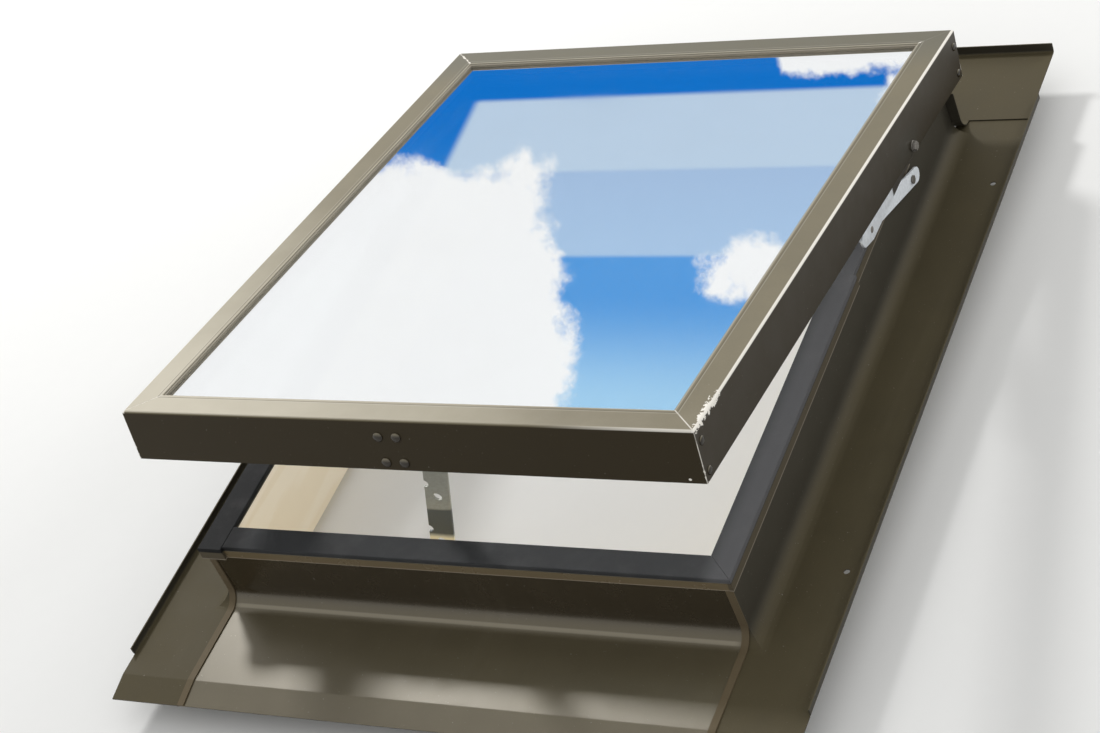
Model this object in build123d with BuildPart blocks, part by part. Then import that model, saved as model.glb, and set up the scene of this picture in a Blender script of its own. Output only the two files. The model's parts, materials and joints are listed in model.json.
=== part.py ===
"""Small roof skylight with its frame, lying on the roof plane and held part open.

Sizes are millimetres. X runs along the eaves, +Y runs up the roof and +Z stands square to the
roof. The origin is the middle of the frame's foot. Every sash piece is drawn where it lies
when the skylight is shut, and its plane is then swung up about the hinge axis.
"""
from build123d import *
import os
from math import cos, radians, sin

os.makedirs("parts", exist_ok=True)

# Sash: outside sizes and rail profile
SASH_WIDTH = 450.0
SASH_LENGTH = 550.0
SASH_HEIGHT = 25.0          # top face down to the sealing foot
SKIRT_DEPTH = 41.0
RAIL_WIDTH = 22.0
PROFILE_WALL = 1.5
EDGE_ROUNDING = 2.0
CHAMBER_WIDTH = 8.5         # clear width between skirt and web
CHAMBER_DEPTH = 6.5         # clear depth of the corner key chamber
FOOT_WIDTH = 13.5           # from the web to the foot's free edge
OPEN_ANGLE = 10.9           # how far the sash stands open here
OPEN_MORE = 5.0             # how much further the side links let it go

# Gaps between sash and frame when shut
SIDE_GAP = 10.0
END_GAP = 10.0
SEAL_GAP = 0.3

# Frame boards, flashing and gasket
BOARD_THICKNESS = 18.0
BOARD_HEIGHT = 84.0
REBATE_DEPTH = 8.0
REBATE_HEIGHT = 8.5
SHEET = 1.0
RIM_PROUD = 2.0
RIM_HEIGHT = 7.5
GASKET_HEIGHT = 3.5
GASKET_ROUNDING = 1.0
GUTTER_SHARE = 1 / 3        # how far up the boards the gutter floor lies
COVE_RADIUS = 14.0
GUTTER_WIDTH = 60.0
GUTTER_EDGE = 6.0
EDGE_RADIUS = 2.0
APRON_REACH = 98.0
APRON_FOLD = 77.0
APRON_DROP = 3.7
FOLD_RADIUS = 6.0
SEAM_WIDTH = 5.5
HEAD_EAR = 8.3              # the head upstand runs past the side walls
HEAD_EAR_TOP = 17.2         # top of that end, below the rim top
HEAD_EDGE = 8.0
HEAD_LAP = 40.0             # the side gutters run on under the head sheet
LUG = 2.5                   # the left gasket runs past the front rim
NAIL_RADIUS = 2.25
NAIL_INSET = 12.0
NAIL_SPACING = 400.0

# Glazing
PANE = 4.0
PANE_GAP = 12.0
GLASS_COVER = 7.5           # how far the rail laps over the glass
GLAZING_GASKET = 1.0
GASKET_COVER = 5.0
GASKET_SHOW = 1.6
GASKET_RISE = 1.5
SPACER_WIDTH = 9.0
SPACER_INSET = 2.0
BEAD_TOP = 12.0             # top of the bead's leg, below the sash top

# Corner joints of the sash
KEY_ARM = 34.0
ANGLE_ARM = 26.0
ANGLE_SHEET = 2.0
ANGLE_FOOT = 39.0           # lower edge of the corner angle, below the sash top
CORNER_RIVET_INSET = 7.0
CORNER_RIVET_DROPS = (12.0, 35.0)

# Hinges at the head
HINGE_INSET = 85.0          # middle of a hinge, in from the sash side
HINGE_WIDTH = 50.0
HINGE_RISE = 13.0           # hinge axis above the line of the head sheet
LEAF = 2.0
LEAF_HEIGHT = 24.0
PIN_RADIUS = 2.0
PIN_END = 1.2
MIDDLE_KNUCKLE = 20.0
KNUCKLE_GAP = 0.5
LEAF_HOLES = 30.0

# Side links
LINK_THICKNESS = 2.0
LINK_WIDTH = 12.4
LINK_SLOT_WIDTH = 6.0
LINK_PLAY = 0.5             # spare slot length beyond each end of the travel
LINK_END = 10.0             # end rounding centre beyond the anchor hole
LINK_TIP = 5.5              # end rounding centre beyond the slot
LINK_OFFSET = 2.0           # link clear of the rim face
STUD_RADIUS = 2.5
STUD_HEAD = 3.4
SIDE_PLAY = 0.3             # free space beside a flat bar on its stud
ANCHOR_FROM_HEAD = 110.6    # anchor stud ahead of the rear rim face
ANCHOR_DROP = 12.6          # anchor stud below the rim top
ANCHOR_WIDTH = 24.0
ANCHOR_HEIGHT = 16.0
ANCHOR_SCREWS = 17.0
PIVOT_AHEAD = 103.7         # link plate pivot ahead of the anchor, when shut
PIVOT_DROP = 19.5           # link plate pivot below the rim top, when shut
PIVOT_RADIUS = 2.0
LINK_PLATE = 2.0
PLATE_EYE = 8.0
PLATE_TOE = 6.0
PLATE_TOP = 64.0            # length of the plate's straight top edge
BOLT_FROM_REAR = 124.3
BOLT_DROP = 34.8
BOLT_FLATS = 7.0
BOLT_HEAD = 2.8
WASHER_RADIUS = 4.4
WASHER = 0.8
TURNED_SIDES = 12           # flats that stand for a small turned head
NOTCH_FRONT = 235.0         # rim notch start, ahead of the rear rim face
NOTCH_REAR = 80.0

# Stay at the front
STAY_X = -1.3
STAY_CLEAR = 1.0            # stay hinge clear of the front board when shut
STAY_DROP = 29.0            # stay hinge below the sash top
STAY_EAR_SPACING = 18.0
STAY_EAR = 2.0
STAY_EYE = 4.0
BRACKET_SHEET = 2.0
BRACKET_FOOT = 40.0
BRACKET_RIVETS_X = -6.4
BRACKET_RIVET_SPACING = 14.4
BRACKET_RIVET_DROPS = (14.0, 35.0)
BRACKET_EDGE = 6.5
TONGUE_DROP = 16.0
TONGUE_WIDTH = 14.0
STAY_WIDTH = 19.1
STAY_THICKNESS = 2.0
STAY_REACH = 150.0
STAY_LEAN = 18.1
STAY_CORNER = 5.0
HOLE_RADIUS = 3.5
FIRST_HOLE = 58.7
NOTCH_BEFORE_HOLE = 11.0
HOLE_PITCH = 50.0
PEG_RADIUS = 2.5
PEG_LENGTH = 9.0

# Heads of the small fasteners: radius, height, and how much of the height stands straight
SCREW = (3.5, 1.6, 1.6)
SMALL_SCREW = (2.6, 1.2, 1.2)
RIVET = (3.2, 1.4, 0.7)
BIG_RIVET = (3.8, 1.8, 0.9)
HEAD_SIDES = 8              # flats that stand for a round head
HEAD_TAPER = 38.0           # slope of the upper part of a head
BOARD_SCREW_SHARES = (0.33, 0.68)   # heights of the board screws, as shares of the gutter level

# Small running clearance of a pin in its bore
FIT = 0.05

# Places worked out from the sizes above
SASH_X = SASH_WIDTH / 2
SASH_Y = SASH_LENGTH / 2
RIM_X = SASH_X - SIDE_GAP
RIM_Y = SASH_Y - END_GAP
WALL_X = RIM_X - RIM_PROUD
WALL_Y = RIM_Y - RIM_PROUD
BOARD_X = WALL_X - SHEET
BOARD_Y = WALL_Y - SHEET
OPENING_X = BOARD_X - BOARD_THICKNESS
OPENING_Y = BOARD_Y - BOARD_THICKNESS
BOARD_MID_X = OPENING_X + BOARD_THICKNESS / 2
BOARD_MID_Y = OPENING_Y + BOARD_THICKNESS / 2
RIM_TOP = BOARD_HEIGHT + SHEET
RIM_FOOT = RIM_TOP - RIM_HEIGHT
GASKET_TOP = RIM_TOP + GASKET_HEIGHT
GUTTER_LEVEL = GUTTER_SHARE * BOARD_HEIGHT
GUTTER_OUT = WALL_X + GUTTER_WIDTH
HEAD_OUT = GUTTER_OUT - EDGE_RADIUS
APRON_END = RIM_Y + APRON_REACH
HEAD_LEVEL = GUTTER_LEVEL + SHEET
SASH_TOP = GASKET_TOP + SEAL_GAP + SASH_HEIGHT
SKIRT_IN_X = SASH_X - PROFILE_WALL
SKIRT_IN_Y = SASH_Y - PROFILE_WALL
WEB_IN = 2 * PROFILE_WALL + CHAMBER_WIDTH
CHAMBER_FOOT = 2 * PROFILE_WALL + CHAMBER_DEPTH
GLASS_EDGE = RAIL_WIDTH - GLASS_COVER
GLASS_FOOT = SASH_HEIGHT - PROFILE_WALL
GLASS_TOP = GLASS_FOOT - 2 * PANE - PANE_GAP
LIP_DEPTH = GLASS_TOP - GLAZING_GASKET
HINGE_Y = RIM_Y + END_GAP / 2
HINGE_Z = HEAD_LEVEL + HINGE_RISE
KNUCKLE_RADIUS = SKIRT_IN_Y - HINGE_Y
ANCHOR_Y = RIM_Y - ANCHOR_FROM_HEAD
ANCHOR_Z = RIM_TOP - ANCHOR_DROP
PIVOT_Y = ANCHOR_Y - PIVOT_AHEAD
PIVOT_Z = RIM_TOP - PIVOT_DROP
BOLT_Y = SASH_Y - BOLT_FROM_REAR
STAY_BACK = SASH_Y - OPENING_Y + STAY_CLEAR + STAY_EYE
LINK_X = RIM_X + LINK_OFFSET
PLATE_X = SKIRT_IN_X - LINK_PLATE


def swing(angle):
    """The move from the shut sash to one that stands open by an angle."""
    there = Pos(0, HINGE_Y, HINGE_Z)
    return there * Rot(-angle, 0, 0) * there.inverse()


def swung(plane):
    """A plane of the shut sash, carried to where the open sash holds it."""
    return Plane(swing(OPEN_ANGLE) * plane.location)


def facing(x, y, z, direction):
    """A plane at a point of the frame or shut sash that faces along X or Y."""
    level = (0, 1, 0) if direction[0] else (1, 0, 0)
    return Plane(origin=(x, y, z), x_dir=level, z_dir=direction)


def keep(piece, name):
    """Label a finished piece and write it as its own file."""
    piece.part.label = name
    export_step(piece.part, f"parts/{name}.step")


def mirrored(piece):
    """The left-hand twin of a right-hand piece."""
    with BuildPart() as twin:
        mirror(piece.part, about=Plane.YZ)
    return twin


def buttons(planes, fastener):
    """Heads of rivets or screws: each plane lies under the head and faces outward."""
    radius, height, straight = fastener
    with BuildPart() as group:
        for plane in planes:
            with BuildSketch(plane):
                RegularPolygon(radius, HEAD_SIDES)
            extrude(amount=straight)
            if height > straight:
                with BuildSketch(plane.offset(straight)):
                    RegularPolygon(radius, HEAD_SIDES)
                extrude(amount=height - straight, taper=HEAD_TAPER)
    return group


def turned(planes, shank, heads):
    """Studs and pins: a round shank from start to end, and flanges given the same way."""
    start, end, radius = shank
    with BuildPart() as group:
        for plane in planes:
            with BuildSketch(plane.offset(start)):
                Circle(radius)
            extrude(amount=end - start)
            for low, high, wide in heads:
                with BuildSketch(plane.offset(low)):
                    RegularPolygon(wide, TURNED_SIDES)
                extrude(amount=high - low)
    return group


def framed(sheet_plane, outer, inner, amount):
    """A rectangular ring between two insets from the sash outline."""
    with BuildPart() as ring:
        with BuildSketch(sheet_plane):
            Rectangle(SASH_WIDTH - 2 * outer, SASH_LENGTH - 2 * outer)
            if inner:
                Rectangle(SASH_WIDTH - 2 * inner, SASH_LENGTH - 2 * inner, mode=Mode.SUBTRACT)
        extrude(amount=amount)
    return ring


# The stay hangs straight down from its hinge behind the open sash's front rail
stay_spot = (STAY_X, -SASH_Y + STAY_BACK, SASH_TOP - STAY_DROP)
stay_pin = (swing(OPEN_ANGLE) * Pos(*stay_spot)).position
stay_down = Vector(-sin(radians(STAY_LEAN)), 0, -cos(radians(STAY_LEAN)))
stay_rivet = stay_pin - Vector(0, 0, TONGUE_DROP)
hole_spots = [FIRST_HOLE, FIRST_HOLE + HOLE_PITCH]
peg = stay_rivet + stay_down * hole_spots[-1]
peg_spot = facing(peg.X, -OPENING_Y, peg.Z, (0, 1, 0))

# Places of the fasteners, each as a plane under its head
board_screws = []
anchor_screws = []
nail_spots = []
corner_rivets = []
for side in (-1, 1):
    for end in (-1, 1):
        nail_spots.append((side * (GUTTER_OUT - NAIL_INSET), end * NAIL_SPACING / 2))
        anchor_screws.append(
            facing(side * RIM_X, ANCHOR_Y + end * ANCHOR_SCREWS / 2, ANCHOR_Z, (side, 0, 0))
        )
        for share in BOARD_SCREW_SHARES:
            height = share * GUTTER_LEVEL
            board_screws.append(facing(side * BOARD_X, end * BOARD_MID_Y, height, (side, 0, 0)))
        for drop in CORNER_RIVET_DROPS:
            spot = facing(
                side * SASH_X, end * (SASH_Y - CORNER_RIVET_INSET), SASH_TOP - drop, (side, 0, 0)
            )
            corner_rivets.append(swung(spot))

hinge_centers = (HINGE_INSET - SASH_X, SASH_X - HINGE_INSET)
leaf_screws = []
leaf_rivets = []
frame_leaf_foot = HINGE_Z + KNUCKLE_RADIUS - LEAF
sash_leaf_foot = SASH_TOP - SKIRT_DEPTH
for center in hinge_centers:
    for end in (-1, 1):
        x = center + end * LEAF_HOLES / 2
        screw_z = frame_leaf_foot + 0.6 * LEAF_HEIGHT
        leaf_screws.append(facing(x, WALL_Y + LEAF, screw_z, (0, 1, 0)))
        rivet_z = sash_leaf_foot + 0.6 * LEAF_HEIGHT
        leaf_rivets.append(swung(facing(x, SASH_Y, rivet_z, (0, 1, 0))))

bracket_rivets = []
for end in (-1, 1):
    for drop in BRACKET_RIVET_DROPS:
        x = BRACKET_RIVETS_X + end * BRACKET_RIVET_SPACING / 2
        bracket_rivets.append(swung(facing(x, -SASH_Y, SASH_TOP - drop, (0, -1, 0))))

anchor_studs = [facing(side * RIM_X, ANCHOR_Y, ANCHOR_Z, (side, 0, 0)) for side in (-1, 1)]
link_studs = [
    swung(facing(side * PLATE_X, PIVOT_Y, PIVOT_Z, (-side, 0, 0))) for side in (-1, 1)
]
plate_bolts = [
    swung(facing(side * SASH_X, BOLT_Y, SASH_TOP - BOLT_DROP, (side, 0, 0))) for side in (-1, 1)
]


# Timber boards: the side boards run through, the end boards stand between them
def board(center_x, center_y, width, length):
    """One board on edge, with the rebate for the room lining along its inner foot."""
    with BuildPart() as piece:
        with BuildSketch():
            with Locations((center_x, center_y)):
                Rectangle(width, length)
        extrude(amount=BOARD_HEIGHT)
        with BuildSketch():
            Rectangle(2 * (OPENING_X + REBATE_DEPTH), 2 * (OPENING_Y + REBATE_DEPTH))
        extrude(amount=REBATE_HEIGHT, mode=Mode.SUBTRACT)
    return piece


keep(board(BOARD_MID_X, 0, BOARD_THICKNESS, 2 * BOARD_Y), "board_right")
keep(board(-BOARD_MID_X, 0, BOARD_THICKNESS, 2 * BOARD_Y), "board_left")
keep(board(0, -BOARD_MID_Y, 2 * OPENING_X, BOARD_THICKNESS), "board_front")
keep(board(0, BOARD_MID_Y, 2 * OPENING_X, BOARD_THICKNESS), "board_rear")
keep(buttons(board_screws, SCREW), "board_screws")

# Flashing: the apron and side gutters are drawn as the line of their weather face
apron_line = [
    (-WALL_Y, RIM_TOP),
    (-WALL_Y, GUTTER_LEVEL),
    (-RIM_Y - APRON_FOLD, GUTTER_LEVEL),
    (-APRON_END, GUTTER_LEVEL - APRON_DROP),
]
side_line = [
    (WALL_X, RIM_TOP),
    (WALL_X, GUTTER_LEVEL),
    (GUTTER_OUT, GUTTER_LEVEL),
    (GUTTER_OUT, GUTTER_LEVEL + GUTTER_EDGE),
]
seam_line = [(-WALL_Y, RIM_FOOT)] + apron_line[1:]
head_line = [
    (WALL_Y, RIM_TOP),
    (WALL_Y, HEAD_LEVEL),
    (APRON_END - SHEET, HEAD_LEVEL),
    (APRON_END - SHEET, HEAD_LEVEL + HEAD_EDGE),
]


def bent_sheet(plane, line, radii, thickness_side, amount, both=False):
    """A sheet bent along a line: the line is one face and the thickness lies on one side."""
    with BuildPart() as sheet:
        with BuildSketch(plane):
            with BuildLine():
                FilletPolyline(*line, radius=radii)
                offset(amount=SHEET, side=thickness_side)
            make_face()
        extrude(amount=amount, both=both)
    return sheet


front_radii = [COVE_RADIUS, FOLD_RADIUS]
gutter_radii = [COVE_RADIUS, EDGE_RADIUS]

with BuildPart() as front_flashing:
    add(bent_sheet(Plane.YZ, apron_line, front_radii, Side.LEFT, BOARD_X, both=True).part)
    # The corners of the top belong to the side sheets
    with BuildSketch(Plane.XY.offset(BOARD_HEIGHT)):
        with GridLocations(OPENING_X + BOARD_X, 0, 2, 1):
            with Locations((0, -WALL_Y)):
                Rectangle(BOARD_X - OPENING_X, SHEET, align=(Align.CENTER, Align.MIN))
    extrude(amount=SHEET, mode=Mode.SUBTRACT)
    # Flange over the board, and the proud rim in front of the wall
    with BuildSketch(Plane.YZ):
        with Locations((-BOARD_Y, BOARD_HEIGHT)):
            Rectangle(BOARD_THICKNESS, SHEET, align=Align.MIN)
    extrude(amount=OPENING_X, both=True)
    with BuildSketch(Plane.YZ):
        with Locations((-RIM_Y, RIM_FOOT)):
            Rectangle(RIM_PROUD, RIM_HEIGHT, align=Align.MIN)
    extrude(amount=BOARD_X, both=True)
keep(front_flashing, "front_flashing")

# The front sheet's line runs on round the right-hand corner
corner_mitre = Plane(origin=(WALL_X, -WALL_Y, 0), z_dir=(1, 1, 0))
with BuildPart() as corner_return:
    run_on = bent_sheet(
        Plane.YZ.offset(BOARD_X), apron_line, front_radii, Side.LEFT, GUTTER_OUT - BOARD_X
    )
    add(run_on.part)
    split(bisect_by=corner_mitre, keep=Keep.BOTTOM)

with BuildPart() as gutter_run:
    run = BOARD_Y + WALL_Y + GUTTER_WIDTH
    add(bent_sheet(Plane.XZ.offset(-BOARD_Y), side_line, gutter_radii, Side.RIGHT, run).part)
    split(bisect_by=corner_mitre, keep=Keep.TOP)

with BuildPart() as side_flashing_right:
    add(gutter_run.part)
    add(corner_return.part)
    # Narrow lap that shows in front of the apron's end
    with BuildSketch(Plane.YZ.offset(WALL_X - SEAM_WIDTH)):
        with BuildLine():
            FilletPolyline(*seam_line, radius=front_radii)
            offset(amount=SHEET, side=Side.RIGHT)
        make_face()
    extrude(amount=SEAM_WIDTH)
    # The gutter runs on a little under the head sheet
    with BuildSketch(Plane.XZ.offset(-BOARD_Y)):
        with BuildLine():
            FilletPolyline((BOARD_X, GUTTER_LEVEL), *side_line[2:], radius=EDGE_RADIUS)
            offset(amount=SHEET, side=Side.RIGHT)
        make_face()
    extrude(amount=-HEAD_LAP)
    # Flange over the board
    with BuildSketch(Plane.XY.offset(BOARD_HEIGHT)):
        with Locations((OPENING_X, -WALL_Y)):
            Rectangle(WALL_X - OPENING_X, WALL_Y + BOARD_Y, align=Align.MIN)
    extrude(amount=SHEET)
    # Proud rim, with its front corner and the notch where the link passes
    with BuildSketch(Plane.XY.offset(RIM_FOOT)):
        with Locations((WALL_X, -RIM_Y)):
            Rectangle(RIM_PROUD, 2 * RIM_Y, align=Align.MIN)
        with Locations((BOARD_X, -RIM_Y)):
            Rectangle(SHEET, RIM_PROUD, align=Align.MIN)
        with Locations((WALL_X, RIM_Y - NOTCH_FRONT)):
            Rectangle(
                RIM_PROUD, NOTCH_FRONT - NOTCH_REAR, align=Align.MIN, mode=Mode.SUBTRACT
            )
    extrude(amount=RIM_HEIGHT)
    with Locations(*[(x, y, GUTTER_LEVEL) for x, y in nail_spots]):
        Hole(NAIL_RADIUS, SHEET)
keep(side_flashing_right, "side_flashing_right")

with BuildPart() as side_flashing_left:
    add(mirrored(side_flashing_right).part)
    with BuildSketch(Plane.XY.offset(RIM_FOOT)):
        with Locations((-RIM_X, -RIM_Y)):
            Rectangle(RIM_X - OPENING_X, LUG, align=(Align.MIN, Align.MAX))
    extrude(amount=RIM_HEIGHT)
keep(side_flashing_left, "side_flashing_left")

with BuildPart() as head_flashing:
    add(bent_sheet(Plane.YZ, head_line, gutter_radii, Side.RIGHT, HEAD_OUT, both=True).part)
    # Beyond its short ears the upstand and cove are cut away, and the ears are cut down
    with BuildSketch(Plane.XY.offset(HEAD_LEVEL - SHEET)):
        with GridLocations(WALL_X + HEAD_EAR + HEAD_OUT, 0, 2, 1):
            with Locations((0, BOARD_Y)):
                Rectangle(
                    HEAD_OUT - WALL_X - HEAD_EAR,
                    COVE_RADIUS + SHEET,
                    align=(Align.CENTER, Align.MIN),
                )
    extrude(amount=RIM_TOP, mode=Mode.SUBTRACT)
    with BuildSketch(Plane.XY.offset(RIM_TOP - HEAD_EAR_TOP)):
        with GridLocations(2 * WALL_X + HEAD_EAR, 0, 2, 1):
            with Locations((0, BOARD_Y)):
                Rectangle(HEAD_EAR, SHEET, align=(Align.CENTER, Align.MIN))
    extrude(amount=HEAD_EAR_TOP, mode=Mode.SUBTRACT)
    with BuildSketch(Plane.YZ):
        with Locations((OPENING_Y, BOARD_HEIGHT)):
            Rectangle(BOARD_THICKNESS, SHEET, align=Align.MIN)
    extrude(amount=OPENING_X, both=True)
    with BuildSketch(Plane.YZ):
        with Locations((WALL_Y, RIM_FOOT)):
            Rectangle(RIM_PROUD, RIM_HEIGHT, align=Align.MIN)
    extrude(amount=WALL_X, both=True)
keep(head_flashing, "head_flashing")


# Gasket strips on the flange: butted at three corners and mitred at the right front corner
def gasket_strip(low, high):
    """A straight strip between two corners, rounded along its top edges."""
    with BuildPart() as strip:
        with BuildSketch(Plane.XY.offset(RIM_TOP)):
            with Locations(low):
                Rectangle(high[0] - low[0], high[1] - low[1], align=Align.MIN)
        extrude(amount=GASKET_HEIGHT)
        long_axis = Axis.X if high[0] - low[0] > high[1] - low[1] else Axis.Y
        fillet(strip.faces().sort_by(Axis.Z)[-1].edges().filter_by(long_axis), GASKET_ROUNDING)
    return strip


def gasket_side(front, side, front_corner):
    """A side strip, notched outside where the link passes."""
    with BuildPart() as strip:
        low_x = OPENING_X if side > 0 else -RIM_X
        add(gasket_strip((low_x, front), (low_x + RIM_X - OPENING_X, RIM_Y)).part)
        with BuildSketch(Plane.XY.offset(RIM_TOP)):
            with Locations((side * RIM_X, RIM_Y - NOTCH_FRONT)):
                Rectangle(
                    2 * RIM_PROUD, NOTCH_FRONT - NOTCH_REAR, align=(Align.CENTER, Align.MIN)
                )
        extrude(amount=GASKET_HEIGHT, mode=Mode.SUBTRACT)
        if front_corner:
            split(bisect_by=front_corner, keep=Keep.TOP)
    return strip


gasket_mitre = Plane(origin=(RIM_X, -RIM_Y, 0), z_dir=(1, 1, 0))
keep(gasket_side(-RIM_Y, 1, gasket_mitre), "gasket_right")
keep(gasket_side(-RIM_Y - LUG, -1, None), "gasket_left")
keep(gasket_strip((-OPENING_X, OPENING_Y), (OPENING_X, RIM_Y)), "gasket_rear")
with BuildPart() as gasket_front:
    add(gasket_strip((-OPENING_X, -RIM_Y), (RIM_X, -OPENING_Y)).part)
    split(bisect_by=gasket_mitre, keep=Keep.BOTTOM)
keep(gasket_front, "gasket_front")


# Hinges
def frame_leaf(center):
    """Leaf screwed behind the frame, with its two outer knuckles."""
    middle = Plane.YZ.offset(center)
    with BuildPart() as leaf:
        with BuildSketch(middle):
            with Locations((WALL_Y, frame_leaf_foot)):
                Rectangle(LEAF, LEAF_HEIGHT, align=Align.MIN)
                Rectangle(HINGE_Y - WALL_Y, LEAF, align=Align.MIN)
            with Locations((HINGE_Y, HINGE_Z)):
                RegularPolygon(KNUCKLE_RADIUS, TURNED_SIDES)
        extrude(amount=HINGE_WIDTH / 2, both=True)
        with BuildSketch(middle):
            with Locations((WALL_Y + LEAF, HINGE_Z)):
                Rectangle(
                    4 * KNUCKLE_RADIUS, 4 * KNUCKLE_RADIUS, align=(Align.MIN, Align.CENTER)
                )
        extrude(amount=MIDDLE_KNUCKLE / 2, both=True, mode=Mode.SUBTRACT)
        with BuildSketch(middle):
            with Locations((HINGE_Y, HINGE_Z)):
                Circle(PIN_RADIUS)
        extrude(amount=HINGE_WIDTH / 2, both=True, mode=Mode.SUBTRACT)
    return leaf


def sash_leaf(center):
    """Leaf riveted inside the rear skirt, with the middle knuckle."""
    middle = swung(Plane.YZ.offset(center))
    with BuildPart() as leaf:
        with BuildSketch(middle):
            with Locations((SKIRT_IN_Y, sash_leaf_foot)):
                Rectangle(LEAF, LEAF_HEIGHT, align=(Align.MAX, Align.MIN))
        extrude(amount=HINGE_WIDTH / 2, both=True)
        with BuildSketch(middle):
            with Locations((SKIRT_IN_Y, HINGE_Z)):
                Rectangle(LEAF, sash_leaf_foot - HINGE_Z, align=(Align.MAX, Align.MIN))
            with Locations((HINGE_Y, HINGE_Z)):
                RegularPolygon(KNUCKLE_RADIUS, TURNED_SIDES)
        extrude(amount=MIDDLE_KNUCKLE / 2 - KNUCKLE_GAP, both=True)
        with BuildSketch(middle):
            with Locations((HINGE_Y, HINGE_Z)):
                Circle(PIN_RADIUS + FIT)
        extrude(amount=HINGE_WIDTH / 2, both=True, mode=Mode.SUBTRACT)
    return leaf


for center, hand in zip(hinge_centers, ("left", "right")):
    keep(frame_leaf(center), f"hinge_frame_leaf_{hand}")
    keep(sash_leaf(center), f"hinge_sash_leaf_{hand}")
pin_planes = [facing(center, HINGE_Y, HINGE_Z, (1, 0, 0)) for center in hinge_centers]
pin_end = HINGE_WIDTH / 2
pin_shank = (-pin_end - PIN_END, pin_end + PIN_END, PIN_RADIUS)
keep(turned(pin_planes, pin_shank, []), "hinge_pins")
keep(buttons(leaf_screws, SCREW), "leaf_screws")
keep(buttons(leaf_rivets, RIVET), "leaf_rivets")

# Side links: anchor on the frame wall
with BuildPart() as link_anchor:
    with BuildSketch(Plane.YZ.offset(WALL_X)):
        with Locations((ANCHOR_Y, ANCHOR_Z)):
            Rectangle(ANCHOR_WIDTH, ANCHOR_HEIGHT)
    extrude(amount=RIM_PROUD)
    chamfer(link_anchor.edges().filter_by(Axis.X).group_by(SortBy.LENGTH)[0], EDGE_ROUNDING)
keep(link_anchor, "link_anchor_right")
keep(mirrored(link_anchor), "link_anchor_left")
keep(buttons(anchor_screws, SMALL_SCREW), "anchor_screws")

shoulder = LINK_OFFSET - SIDE_PLAY
link_far = LINK_OFFSET + LINK_THICKNESS + SIDE_PLAY
anchor_heads = [(0, shoulder, 2 * STUD_RADIUS), (link_far, link_far + PIN_END, STUD_HEAD)]
keep(turned(anchor_studs, (0, link_far, STUD_RADIUS), anchor_heads), "anchor_studs")


# Links: the slot is as long as the pivot's travel between shut and fully open
def pivot_at(angle):
    """Place of the link plate's pivot, measured from the anchor stud, at an opening angle."""
    place = (swing(angle) * Pos(0, PIVOT_Y, PIVOT_Z)).position
    return Vector(0, place.Y - ANCHOR_Y, place.Z - ANCHOR_Z)


travel = [pivot_at(angle).length for angle in (0, OPEN_ANGLE, OPEN_ANGLE + OPEN_MORE)]
slot_near = min(travel) - LINK_PLAY
slot_far = max(travel) + LINK_PLAY
with BuildPart() as side_link:
    link_plane = Plane(
        origin=(LINK_X, ANCHOR_Y, ANCHOR_Z), x_dir=pivot_at(OPEN_ANGLE), z_dir=(1, 0, 0)
    )
    with BuildSketch(link_plane):
        with Locations(((slot_far + LINK_TIP - LINK_END) / 2, 0)):
            SlotCenterToCenter(slot_far + LINK_TIP + LINK_END, LINK_WIDTH)
        Circle(STUD_RADIUS + FIT, mode=Mode.SUBTRACT)
        with Locations(((slot_near + slot_far) / 2, 0)):
            SlotCenterToCenter(slot_far - slot_near, LINK_SLOT_WIDTH, mode=Mode.SUBTRACT)
    extrude(amount=LINK_THICKNESS)
keep(side_link, "side_link_right")
keep(mirrored(side_link), "side_link_left")

# Plate that hangs from the side skirt and carries the link's pivot
with BuildPart() as link_plate:
    plate_top = SASH_TOP - CHAMBER_FOOT
    plate_plane = swung(Plane.YZ.offset(PLATE_X))
    with BuildSketch(plate_plane):
        with Locations((PIVOT_Y, PIVOT_Z), (BOLT_Y, SASH_TOP - BOLT_DROP)):
            Circle(PLATE_EYE)
        with Locations((PIVOT_Y - PLATE_EYE - PLATE_TOE, PIVOT_Z)):
            Circle(PLATE_TOE)
        with Locations((BOLT_Y + PLATE_EYE, plate_top)):
            Rectangle(PLATE_TOP, PLATE_TOE, align=Align.MAX)
        make_hull()
    extrude(amount=LINK_PLATE)
keep(link_plate, "link_plate_right")
keep(mirrored(link_plate), "link_plate_left")

plate_gap = PLATE_X - LINK_X - LINK_THICKNESS - SIDE_PLAY
tail = PLATE_X - LINK_X + SIDE_PLAY
link_stud_heads = [(0, plate_gap, STUD_HEAD), (tail, tail + PIN_END, STUD_HEAD)]
keep(turned(link_studs, (0, tail, PIVOT_RADIUS), link_stud_heads), "link_studs")

with BuildPart() as bolts:
    for plane in plate_bolts:
        with BuildSketch(plane.offset(WASHER)):
            RegularPolygon(BOLT_FLATS / 2, 6, major_radius=False)
        extrude(amount=BOLT_HEAD)
keep(bolts, "plate_bolts")

with BuildPart() as washers:
    for plane in plate_bolts:
        with BuildSketch(plane):
            RegularPolygon(WASHER_RADIUS, TURNED_SIDES)
        extrude(amount=WASHER)
keep(washers, "plate_washers")

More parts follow.
